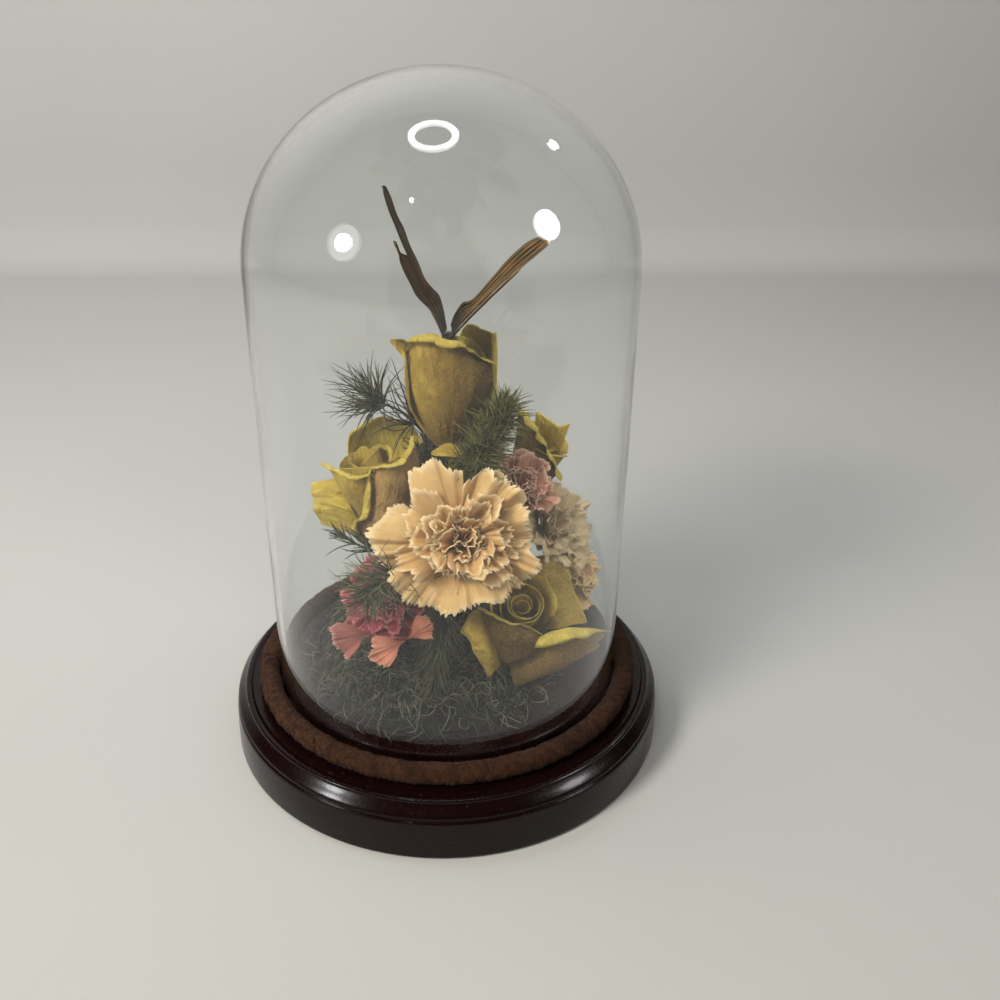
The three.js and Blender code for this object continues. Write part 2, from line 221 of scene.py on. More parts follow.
def place():
    """The point's place in the piece's frame, in metres."""
    return add_node("TexCoord").outputs["Object"]


def value_of(name):
    """A number that the piece keeps per point."""
    return add_node("Attribute", attribute_name=name).outputs["Fac"]


def vector_of(x, y, z):
    """A vector from three numbers or sockets."""
    return add_node("CombineXYZ", {"X": x, "Y": y, "Z": z}).outputs[0]


def calculate(operation, first, second):
    """A Math node."""
    return add_node("Math", {0: first, 1: second}, operation=operation).outputs[0]


def noise(vector, scale, detail=4.0, roughness=0.55, distortion=0.0):
    """Cloudy noise from 0 to 1."""
    inputs = {"Vector": vector, "Scale": scale, "Detail": detail}
    inputs.update({"Roughness": roughness, "Distortion": distortion})
    return add_node("TexNoise", inputs).outputs["Fac"]


def spread(value, low, high, start=0.0, end=1.0):
    """Maps low..high to start..end, held at both ends."""
    inputs = {"Value": value, 1: low, 2: high, 3: start, 4: end}
    return add_node("MapRange", inputs).outputs[0]


def mix(share, first, second, kind="MIX"):
    """Mixes two colours by a share."""
    inputs = {0: share, 6: first, 7: second}
    return add_node("Mix", inputs, data_type="RGBA", blend_type=kind).outputs[2]


def bump(height, depth, strength=1.0, normal=None):
    """Bump from a height; depth is in metres."""
    inputs = {"Height": height, "Distance": depth, "Strength": strength}
    if normal is not None:
        inputs["Normal"] = normal
    return add_node("Bump", inputs).outputs[0]


def see_through(share, colour):
    """Lets a share of the light pass through a thin petal, as a Translucent mix."""
    shader = bench["tree"].nodes["Principled BSDF"]
    thin = add_node("BsdfTranslucent", {"Color": colour})
    surface(add_node("MixShader", {0: share, 1: shader.outputs[0], 2: thin}))

# %% [markdown]
# The room: a pale table that bends up into a pale wall, and soft lamps. The key lamp
# stands to the upper left in front. A ring lamp hangs overhead and round ones stand to
# both sides: they light nothing but the glass, where their reflections are the bright
# shapes that show an eye it is glass. The world's even glow fills the shadows. It stays
# out of reflections, because it would veil the whole dome.

# %% Room
def turned(profile, segments):
    """Points at (radius cos a, radius sin a, height) for each [radius, height] of a closed profile."""
    angle = np.linspace(0, 2 * np.pi, segments, endpoint=False)
    return polar(profile[:, None, 0], angle, profile[:, None, 1])


def stage_mesh(name, points, faces, material):
    """A mesh that belongs to the room and not to the object."""
    mesh = bpy.data.meshes.new(name)
    mesh.from_pydata([tuple(point) for point in points], [], [list(face) for face in faces])
    mesh.polygons.foreach_set("use_smooth", np.ones(len(faces), bool))
    mesh.materials.append(material)
    made = bpy.data.objects.new(name, mesh)
    bpy.context.scene.collection.objects.link(made)
    return made


paper = new_finish("pale_paper", 0.75, 0.04)
paper_clouds = noise(place(), 3.0, 3.0)
paper_colour = mix(paper_clouds, tint("a2a7aa"), tint("aeb0b2"))
principled({"Base Color": paper_colour})
SHEET_REACH = 2.2
SHEET_HALF_WIDTH = 2.4
sheet_line = [[-SHEET_REACH, 0], [0.70, 0], [0.725, 0.004], [0.745, 0.018], [0.755, 0.045], [0.76, 0.1],
              [0.76, SHEET_REACH]]
room_points = [(x, y, z) for y, z in sheet_line for x in (-SHEET_HALF_WIDTH, SHEET_HALF_WIDTH)]
stage_mesh("backdrop", room_points, grid_quads(len(sheet_line), 2), paper)

world = bpy.data.worlds.new("room_light")
world.use_nodes = True
room_glow = world.node_tree.nodes["Background"].inputs
room_glow["Color"].default_value = tint("f6f1ea")
room_glow["Strength"].default_value = 0.26
world.cycles_visibility.glossy = False
bpy.context.scene.world = world
bpy.context.scene.view_settings.view_transform = "Standard"


def lamp(name, spot, target, power, size, colour="ffffff", seen=True):
    """A round area lamp that looks from spot to target, in metres; a seen one is there for its reflection."""
    data = bpy.data.lights.new(name, "AREA")
    data.shape = "DISK"
    data.size = size
    data.energy = power
    data.color = tint(colour)[:3]
    made = bpy.data.objects.new(name, data)
    bpy.context.scene.collection.objects.link(made)
    made.location = spot
    made.rotation_euler = (Vector(target) - Vector(spot)).to_track_quat("-Z", "Y").to_euler()
    made.visible_camera = False
    made.visible_glossy = seen
    made.visible_diffuse = not seen
    made.visible_transmission = seen


def towards(azimuth, elevation, distance=1.0):
    """A point at that distance from the middle of the dome, in metres."""
    a, e = np.radians([azimuth, elevation])
    return Vector((np.sin(a) * np.cos(e), -np.cos(a) * np.cos(e), np.sin(e))) * distance + Vector((0, 0, 0.2))


middle = (0, 0, 0.13)
lamp("key_lamp", towards(-50, 36, 1.5), middle, 26.0, 0.45, "fff4e4", seen=False)
lamp("wall_lamp", (-0.25, 0.15, 1.0), (-0.1, 0.76, 0.35), 3.6, 0.4, "fff8f2", seen=False)
lamp("fill_lamp", towards(-6, 50, 1.6), middle, 11.5, 1.0, "fff6ea", seen=False)
lamp("round_lamp", towards(-59.2, 22.0, 1.3), middle, 1.3, 0.42)
lamp("round_lamp_core", towards(-59.2, 22.0, 1.28), middle, 5.0, 0.2)
lamp("side_lamp", towards(66.9, 28.6, 1.3), middle, 6.5, 0.34)
lamp("small_lamp_1", towards(123.4, 40.9, 1.3), middle, 1.6, 0.09)
lamp("small_lamp_2", towards(-24.9, 52.7, 1.3), middle, 0.7, 0.05)

# %% Ring lamp
ring_glow = new_finish("ring_glow")
bench["tree"].nodes.remove(bench["tree"].nodes["Principled BSDF"])
surface(add_node("Emission", {"Strength": 15.0}))
RING_RADIUS, RING_HEIGHT = 0.145, 1.15
section = np.linspace(0, 2 * np.pi, 13)
ring_profile = np.stack([RING_RADIUS + 0.022 * np.cos(section), RING_HEIGHT + 0.01 * np.sin(section)], -1)
ring_grid = turned(ring_profile, 48) + np.array([-0.055, 0.05, 0])
ring_lamp = stage_mesh("ring_lamp", ring_grid.reshape(-1, 3), grid_quads(13, 48, True), ring_glow)
ring_lamp.visible_camera = False
ring_lamp.visible_shadow = False
ring_lamp.visible_diffuse = False

# %% [markdown]
# The base is turned wood under dark lacquer: an upright foot, a fine groove, an ogee, a
# bead, the ledge that the glass stands on and a plinth inside the glass. A lathe does
# this by turning one profile, and so does the code: turned() swings a profile round Z.
# Every arris on the real piece is slightly round, so corners() replaces each corner of
# the profile by a small arc, which is what catches the thin lines of light.

# %% Turned forms
def corners(profile, rounding, steps=5):
    """Each inner corner becomes a curve: (1-t)^2 of a point before, t^2 of one after, the rest the corner."""
    profile = np.asarray(profile, float)
    share = np.linspace(0, 1, steps)[:, None]
    rounded = [profile[:1]]
    for before, corner, after in zip(profile[:-2], profile[1:-1], profile[2:]):
        cut_in = min(rounding, 0.45 * np.linalg.norm(before - corner))
        cut_out = min(rounding, 0.45 * np.linalg.norm(after - corner))
        start = corner + cut_in * unit(before - corner)
        end = corner + cut_out * unit(after - corner)
        rounded.append((1 - share) ** 2 * start + 2 * share * (1 - share) * corner + share ** 2 * end)
    return np.concatenate([*rounded, profile[-1:]])


def capped(rings, poles, **values):
    """Forms from rings of points, shaped (count, steps, sides, 3), each closed by a point at both ends."""
    count, steps, sides = rings.shape[:3]
    size = steps * sides + 2
    points = np.concatenate([rings.reshape(count, -1, 3), poles], 1)
    ring = np.arange(sides)
    beside = (ring + 1) % sides
    top = (steps - 1) * sides
    low = np.stack([beside, ring, np.full(sides, size - 2)], -1)
    high = np.stack([top + ring, top + beside, np.full(sides, size - 1)], -1)
    shift = (np.arange(count) * size)[:, None, None]
    kept = {key: np.repeat(value, size) for key, value in values.items()}
    kept.setdefault("along", np.tile([*np.repeat(np.linspace(0, 1, steps), sides), 0, 1], count))
    return form(points, grid_quads(steps, sides, True) + shift, np.concatenate([low, high]) + shift, **kept)


def lathe(profile, segments):
    """A closed turned form; the profile runs from the axis below, round the outside, to the axis above."""
    profile = np.asarray(profile, float)
    poles = [[[0, 0, profile[0, 1]], [0, 0, profile[-1, 1]]]]
    return capped(turned(profile[1:-1], segments)[None], poles)


# %% Lacquered wood
lacquer = new_finish("lacquered_wood", 0.25, 0.14)
lacquer_place = place()
ring_grain = add_node("Mapping", {"Vector": lacquer_place, "Scale": (1, 1, 6)})
wood_grain = noise(ring_grain, 38.0, 6.0, 0.6, 0.4)
mottle = noise(lacquer_place, 900.0, 3.0, 0.7)
dust = spread(noise(lacquer_place, 420.0, 2.0), 0.66, 0.74, 0, 0.06)
wood_colour = mix(wood_grain, tint("080203"), tint("160808"))
wood_colour = mix(dust, wood_colour, tint("6b625d"))
orange_peel = bump(mottle, 0.0002, 0.15)
orange_peel = bump(wood_grain, 0.0006, 0.1, orange_peel)
principled({"Base Color": wood_colour, "Normal": orange_peel})
principled({"Roughness": spread(mottle, 0.3, 0.75, 0.2, 0.32)})
principled({"Coat Weight": 0.2, "Coat Roughness": 0.12})

# %% Base
base_profile = [[0, 0], [88.4, 0], [89.5, 1.2], [89.3, 9], [88.9, 16.0], [88.5, 16.9], [87.9, 17.1],
                [87.9, 17.9], [88.6, 18.4], [88.3, 19.2], [87.3, 20.3], [86.2, 21.4], [85.3, 22.4],
                [84.9, 22.9], [84.9, 23.5], [84.2, 24.0], [82.9, 24.0], [82.0, 23.5], [66.4, 23.4],
                [66.0, 23.8], [66.0, 29.3], [65.4, 30.0], [40, 30.0], [0, 30.0]]
piece("base_turned", lathe(corners(base_profile, 0.6), 256), lacquer, "lacquered_wood", "base")

# %% [markdown]
# The dome is one blown skin of clear glass, 2.5 mm thick, open below. It is turned too:
# up the inside from the rim, over the top and down the outside. A light on real glass
# passes through and casts almost no shadow. Cycles would trace that slowly and noisily,
# so a Light Path node makes the glass transparent for shadow rays only.
# Blown glass is never quite true, so its normals wave a little, very slowly.

# %% Glass
glass = new_finish("clear_glass", 0.0, 0.09)
waves = noise(place(), 14.0, 1.0, 0.4)
principled({"Base Color": tint("fbfdfc"), "Transmission Weight": 1.0, "IOR": 1.46})
principled({"Normal": bump(waves, 0.0012, 0.5)})
smears = spread(noise(place(), 30.0, 5.0, 0.7), 0.5, 0.9, 0.0, 0.035)
principled({"Roughness": smears})
clear_shadow = add_node("BsdfTransparent", {"Color": tint("eaeded")})
shadow_ray = add_node("LightPath").outputs["Is Shadow Ray"]
blown = bench["tree"].nodes["Principled BSDF"].outputs[0]
surface(add_node("MixShader", {0: shadow_ray, 1: blown, 2: clear_shadow}))


GLASS_RADIUS, GLASS_RISE, GLASS_WALL, SHOULDER = 70.0, 66.3, 2.5, 194.6


def dome_wall(inset, steps=56):
    """A quarter ellipse above the straight wall: radius cos a out, shoulder + rise sin a up."""
    radius = GLASS_RADIUS - inset
    angle = np.linspace(0, np.pi / 2, steps)
    cap = np.stack([radius * np.cos(angle), SHOULDER + (GLASS_RISE - inset) * np.sin(angle)], -1)
    wall = np.stack([np.full(24, radius), np.linspace(25.0, 194.0, 24)], -1)
    return np.concatenate([wall, cap])


outside = dome_wall(0)
inside = dome_wall(GLASS_WALL)
rim_angle = np.linspace(np.pi, 2 * np.pi, 9)
rim = np.stack([68.75 + 1.25 * np.cos(rim_angle), 24.95 + 1.25 * np.sin(rim_angle)], -1)
dome_profile = np.concatenate([inside[::-1], rim, outside])
dome_profile[[0, -1], 0] = 0
piece("dome_skin", lathe(dome_profile, 192), glass, "clear_glass", "glass_dome")

# %% [markdown]
# A trim cord hides the joint between glass and ledge. It is a soft, felted rope, closed
# into a ring, so it is one tube whose section swells and dents along its length. The
# twist shows as slanting creases: a sine of (place round the ring plus angle round the
# section). Loose fibres stand out of it: short thin tubes that start on its surface.

# %% Tubes
def tubes(paths, radii, sides=3, **values):
    """Rings of points carried along many lines at once, closed by a point at both ends."""
    count, steps = paths.shape[:2]
    tangent = unit(np.gradient(paths, axis=1))
    steep = np.abs(tangent.mean(1)[:, 2]) > 0.8
    helper = np.where(steep[:, None], [1.0, 0, 0], [0, 0, 1.0])[:, None, None]
    angle = 2 * np.pi * np.arange(sides) / sides
    spoke = spokes(tangent[:, :, None], helper, angle[:, None])
    rings = paths[:, :, None] + np.broadcast_to(radii, (count, steps))[:, :, None, None] * spoke
    return capped(rings, paths[:, [0, -1]], **values)


# %% Cord
cord_felt = new_finish("brown_cord", 0.95, 0.05)
cord_place = place()
felted = value_of("felted")
fuzz = noise(cord_place, 520.0, 5.0, 0.75)
blotch = noise(cord_place, 60.0, 3.0)
felt_colour = mix(spread(fuzz, 0.3, 0.7), tint("140c07"), tint("553828"))
hide_colour = mix(spread(blotch, 0.3, 0.7), tint("180e09"), tint("482d1e"))
cord_colour = mix(felted, hide_colour, felt_colour)
# Painted shade: the creases of the twist are darkened towards 120a07.
cord_colour = mix(spread(value_of("crease"), 0, 1, 0, 0.4), cord_colour, tint("120a07"))
cord_bump = bump(fuzz, 0.0022, 1.0)
principled({"Base Color": cord_colour, "Normal": cord_bump})
principled({"Sheen Weight": 0.03, "Sheen Roughness": 0.5})

CORD_RING, CORD_HEIGHT = 74.7, 27.9
CORD_STEPS, CORD_SIDES = 900, 32
CORD_LIMIT, FIBRE_LIMIT = 4.4, 4.6
UP = np.array([0, 0, 1.0])
around = np.linspace(0, 2 * np.pi, CORD_STEPS, endpoint=False)[None, :]
across = np.linspace(0, 2 * np.pi, CORD_SIDES + 1)[:-1, None]
felt_share = 0.55 + 0.45 * smoothstep(-0.25, 0.35, -np.cos(around + 0.5) + 0.35 * np.sin(7 * around))
crease_wave = np.sin(83 * around + 2 * across + 4 * np.sin(9 * around) + 2 * np.sin(31 * around + across))
crease = np.clip(crease_wave, 0, 1) ** 3
lumps = 0.25 * np.sin(31 * around + across) + 0.22 * np.sin(73 * around - 2 * across + 1)
ply = np.sin(127 * around + 8 * across + 2 * np.sin(23 * around)) + np.sin(211 * around - 5 * across)
section_radius = 4.1 - 0.22 * crease + 0.5 * lumps * (0.5 + felt_share * 0.8) + 0.11 * ply
section_radius = np.minimum(section_radius, CORD_LIMIT)
ring_out = CORD_RING + section_radius * np.cos(across)
ring_up = CORD_HEIGHT + section_radius * np.sin(across)
cord_grid = polar(ring_out, around, ring_up)
cord_quads = grid_quads(CORD_SIDES + 1, CORD_STEPS, True) % (CORD_SIDES * CORD_STEPS)
cord_form = form(cord_grid, cord_quads, felted=(felt_share + 0 * across).ravel(), crease=crease.ravel())

FIBRES = 4200
chance = np.random.default_rng(7)
fibre_angle = chance.uniform(0, 2 * np.pi, FIBRES)
fibre_side = chance.uniform(-0.6, 2.6, FIBRES)
fibre_felted = 0.6 + 0.4 * smoothstep(-0.25, 0.35, -np.cos(fibre_angle + 0.5))
fibre_round = polar(1, fibre_angle, 0)
fibre_out = np.cos(fibre_side)[:, None] * fibre_round + np.sin(fibre_side)[:, None] * UP
fibre_centre = CORD_RING * fibre_round + CORD_HEIGHT * UP
fibre_root = fibre_centre + 3.6 * fibre_out
fibre_lean = unit(fibre_out * 0.5 + chance.normal(0, 0.8, (FIBRES, 3)))
fibre_step = np.linspace(0, 1, 4)[None, :, None]
fibre_length = (chance.uniform(0.8, 2.4, FIBRES) * (0.35 + 0.65 * fibre_felted))[:, None, None]
fibre_bend = chance.normal(0, 0.5, (FIBRES, 1, 3))
fibre_path = fibre_step * fibre_lean[:, None] + fibre_step ** 2 * fibre_bend
fibre_path = fibre_root[:, None] + fibre_length * fibre_path
fibre_away = fibre_path - fibre_centre[:, None]
fibre_far = np.linalg.norm(fibre_away, axis=-1, keepdims=True)
fibre_path = fibre_centre[:, None] + fibre_away * np.minimum(1, FIBRE_LIMIT / fibre_far)
fibres = tubes(fibre_path, np.linspace(0.09, 0.03, 4), 3, felted=fibre_felted, crease=0 * fibre_felted)
piece("cord_ring", join([cord_form, fibres]), cord_felt, "brown_cord", "trim_cord")

# %% [markdown]
# Petals are thin sheets, yet every sheet here becomes a closed shell, because a mesh
# with no thickness has no inside for light and breaks in other programs. shells() moves
# the sheet half a thickness out and half in along its normals, and joins the two skins
# round the edge. Solidify would do the same. The arrays also keep which skin a point is
# on, so a petal can be yellow inside and tan outside.

# %% Shells
def shells(grids, thickness, **values):
    """Closed shells of many grids at once, shaped (count, rows, columns, 3); values are per grid point."""
    grids = np.asarray(grids, float)
    count, rows, columns = grids.shape[:3]
    normal = normals(grids)
    skins = np.stack([grids + normal * thickness / 2, grids - normal * thickness / 2], 1)
    quads = grid_quads(rows, columns)
    size = rows * columns
    low = np.arange(columns)
    right = np.arange(1, rows) * columns + columns - 1
    high = (rows - 1) * columns + np.arange(columns - 2, -1, -1)
    left = np.arange(rows - 2, 0, -1) * columns
    edge = np.concatenate([low, right, high, left])
    beyond = np.roll(edge, -1)
    rim_quads = np.stack([beyond, edge, edge + size, beyond + size], -1)
    one = np.concatenate([quads, quads[:, ::-1] + size, rim_quads])
    faces = one[None] + (np.arange(count) * 2 * size)[:, None, None]
    kept = {"side": np.tile(np.repeat([0.0, 1.0], size), count)}
    for key, value in values.items():
        full = np.broadcast_to(value, (count, rows, columns))
        kept[key] = np.repeat(full[:, None], 2, axis=1).ravel()
    return form(skins, faces, [], **kept)


def stand(points, calyx, facing):
    """Turns points that grow along +Z so that they grow along facing, and moves them to calyx."""
    turn = Vector((0, 0, 1)).rotation_difference(Vector(facing)).to_matrix()
    return points @ np.array(turn).T + np.array(calyx, float)

# %% [markdown]
# A rose petal is a cup wall whose rim rolls outward as it dries. The wall follows the
# cup, the last few millimetres follow an arc, and how far the arc goes may differ from
# left to right, so one petal can end in a scroll on one side and a point on the other.
# Sculpting would also give this, but a formula can be tuned petal by petal with a
# handful of numbers.

# %% Rose petals
def cup_petal(turn, spread_angle, radius, height, flare=0.1, roll=(60, 60, 60), lip=5.0, drop=0.12,
              spiral=0.0, seed=0, dents=0.5, rows=36, columns=44):
    """A cup wall plus a rolled lip.

    Wall: radius times (0.32 + 0.68 sin(90 deg (0.12 + v))^1.2 + flare v^3) out, height times v up.
    Lip: from the wall's last slope an arc turns outward by roll degrees over lip millimetres.
    Spiral adds to the radius from one side to the other.
    """
    u = np.linspace(-1, 1, columns)[None, :]
    wall_rows = rows * 2 // 3
    v = np.linspace(0, 1, wall_rows)[:, None]
    tall = height * (1 - drop * np.abs(u) ** 2.2)
    out = radius * (0.32 + 0.68 * np.sin(np.pi / 2 * np.minimum(1, 0.12 + v)) ** 1.2 + flare * v ** 3)
    out = out + 0 * u
    up = tall * v
    slope = np.arctan2(up[-1] - up[-2], out[-1] - out[-2])
    bend = np.radians(np.interp(u[0], [-1, 0, 1], roll))
    step = np.linspace(0, 1, rows - wall_rows + 1)[1:, None]
    angle = slope - bend * step
    lip_step = lip * (1 - 0.35 * np.abs(u) ** 3) / len(step)
    out = np.concatenate([out, out[-1] + np.cumsum(np.cos(angle) * lip_step, 0)])
    up = np.concatenate([up, up[-1] + np.cumsum(np.sin(angle) * lip_step, 0)])
    v_all = np.concatenate([v * 0.8, 0.8 + 0.2 * step])
    out = out + spiral * u * (0.3 + 0.7 * v_all)
    narrow = 0.45 + 0.55 * np.sin(np.pi / 2 * np.minimum(1, v_all / 0.55))
    chance = np.random.default_rng(seed)
    phase = chance.uniform(0, 2 * np.pi, 6)
    ripple = np.sin(3.1 * u + 4 * v_all + phase[0]) + 0.6 * np.sin(6.3 * u - 5 * v_all + phase[1])
    ripple = ripple + 0.4 * np.sin(11 * u + 3 * v_all + phase[2]) * v_all
    out = out + dents * ripple * v_all + wrinkles(u, v_all, phase, 0.5 * dents)
    up = up + 0.8 * dents * np.sin(7 * u + phase[3]) * v_all ** 3
    azimuth = np.radians(turn) + u * np.radians(spread_angle) * narrow
    return polar(out, azimuth, up), v_all + 0 * u, u + 0 * v_all


PETAL_THICKNESS = 0.4


def petal_form(spec, calyx, facing, tone, thickness=PETAL_THICKNESS):
    """A petal's closed shell in place, with what its material reads."""
    grid, along, across = cup_petal(**spec)
    placed = stand(grid, calyx, facing)
    return shells(placed[None], thickness, along=along[None], across=across[None], tone=tone)

# %% [markdown]
# The petals that face the viewer have shapes of their own: a folded corner, a domed
# back, a drooping lip. Each is a sheet through a small net of guide points, in mm, from
# base to rim. A spline joins the points along each column, then along each row. Its
# rim and its left side may roll: curl_edge() carries the sheet on round a thin cylinder.

# %% Guided petals
def spline(route, steps):
    """A Catmull-Rom line through the route's points, at even steps of its parameter."""
    route = np.asarray(route, float)
    ends = np.concatenate([[2 * route[0] - route[1]], route, [2 * route[-1] - route[-2]]])
    at = np.linspace(0, len(route) - 1 - 1e-9, steps)
    k = at.astype(int)
    t = (at - k).reshape((-1,) + (1,) * (route.ndim - 1))
    p0, p1, p2, p3 = ends[k], ends[k + 1], ends[k + 2], ends[k + 3]
    return 0.5 * (2 * p1 + (p2 - p0) * t + (2 * p0 - 5 * p1 + 4 * p2 - p3) * t ** 2
                  + (3 * p1 - p0 - 3 * p2 + p3) * t ** 3)


def curl_edge(grid, radius, degrees, steps=9):
    """Carries the last row on round a roll: sin a along the sheet and 1 - cos a along its outer normal."""
    normal = normals(grid)[-1]
    ahead = unit(grid[-1] - grid[-3])
    radius, degrees = np.broadcast_arrays(np.asarray(radius, float), np.asarray(degrees, float))
    place_on = np.linspace(0, 1, len(grid[-1]))
    at = np.linspace(0, 1, len(radius)) if radius.ndim else None
    radius = np.interp(place_on, at, radius) if at is not None else radius + 0 * place_on
    degrees = np.interp(place_on, at, degrees) if at is not None else degrees + 0 * place_on
    angle = np.radians(degrees) * np.linspace(0, 1, steps + 1)[1:, None]
    roll = radius * np.sin(angle), radius * (1 - np.cos(angle))
    return np.concatenate([grid, grid[-1] + roll[0][..., None] * ahead + roll[1][..., None] * normal])


def wrinkles(u, v, phase, size):
    """Fine folds from base to rim: a sharp line, (1 - |sin|)^5, wherever one of three sines of u is nought."""
    folds = 0 * (u + v)
    for number, pace in enumerate((5.3, 8.9, 14.7)):
        line = np.abs(np.sin(pace * u + phase[number] + 0.9 * np.sin(3.1 * v + phase[number + 3])))
        folds = folds + (1 - line) ** 5 * np.sin(2.3 * v + 2 * phase[number]) * (0.5 + v)
    return size * folds * smoothstep(1.0, 0.75, v)


def guided_petal(net, lip, left=None, tone=0.3, seed=0, dents=0.25, rows=48, columns=64,
                 blush=0.0, brown_and_shade_right=0.0, painted_light=0.0):
    """A spline sheet through the net, dented and wrinkled, with its rim curled and perhaps its left side.

    Lip and left are (radius, degrees), one number or several along the edge. Blush, brown_and_shade_right and
    painted_light are for the material: pink on the back; browner to the right, partly painted shade; and
    painted light, the rim's bright yellow spread over the petal's upper part.
    """
    net = np.asarray(net, float)
    grid = spline(np.swapaxes(spline(net, rows), 0, 1), columns).swapaxes(0, 1)
    v = np.linspace(0, 1, rows)[:, None]
    u = np.linspace(-1, 1, columns)[None, :]
    phase = np.random.default_rng(seed).uniform(0, 2 * np.pi, 6)
    ripple = np.sin(4.1 * u + 5 * v + phase[0]) + 0.7 * np.sin(8.3 * u - 6 * v + phase[1])
    ripple = ripple + 0.5 * np.sin(17 * u + 4 * v + phase[2]) * v + 0.4 * np.sin(13 * v + 6 * u + phase[3])
    normal = normals(grid)
    folds = wrinkles(u, v, phase, 0.9 * dents)
    grid = grid + (dents * ripple * v + folds)[..., None] * normal
    if left is not None:
        grid = curl_edge(grid[:, ::-1].swapaxes(0, 1), *left).swapaxes(0, 1)[:, ::-1]
    grid = curl_edge(grid, *lip)
    rows_now, columns_now = grid.shape[:2]
    rolled_rows = np.linspace(0.9, 1, rows_now - rows)[:, None]
    along = np.concatenate([v * 0.9, rolled_rows]) + 0 * np.zeros(columns_now)
    rolled_columns = np.linspace(-1.1, -1, columns_now - columns)
    across = np.concatenate([rolled_columns, np.linspace(-1, 1, columns)])[None, :] + 0 * along
    roll_and_painted_light = np.maximum(np.abs(across) > 1.0, along > 0.92)
    # Painted light: painted_light spreads the rolled rim's bright yellow over the upper petal, to brighten a
    # petal that lies in shade. The rolled value carries both the real rolled edges and this painted light.
    roll_and_painted_light = np.maximum(roll_and_painted_light, painted_light * smoothstep(0.2, 0.6, along))
    # brown_and_shade_right darkens the petal towards its right: partly browning, partly painted shade on the
    # side away from the key lamp.
    shade = np.clip(tone + brown_and_shade_right * across, 0, 1.3)
    return shells(grid[None], PETAL_THICKNESS, along=along[None], across=across[None], tone=shade[None],
                  rolled=roll_and_painted_light[None], blush=blush)


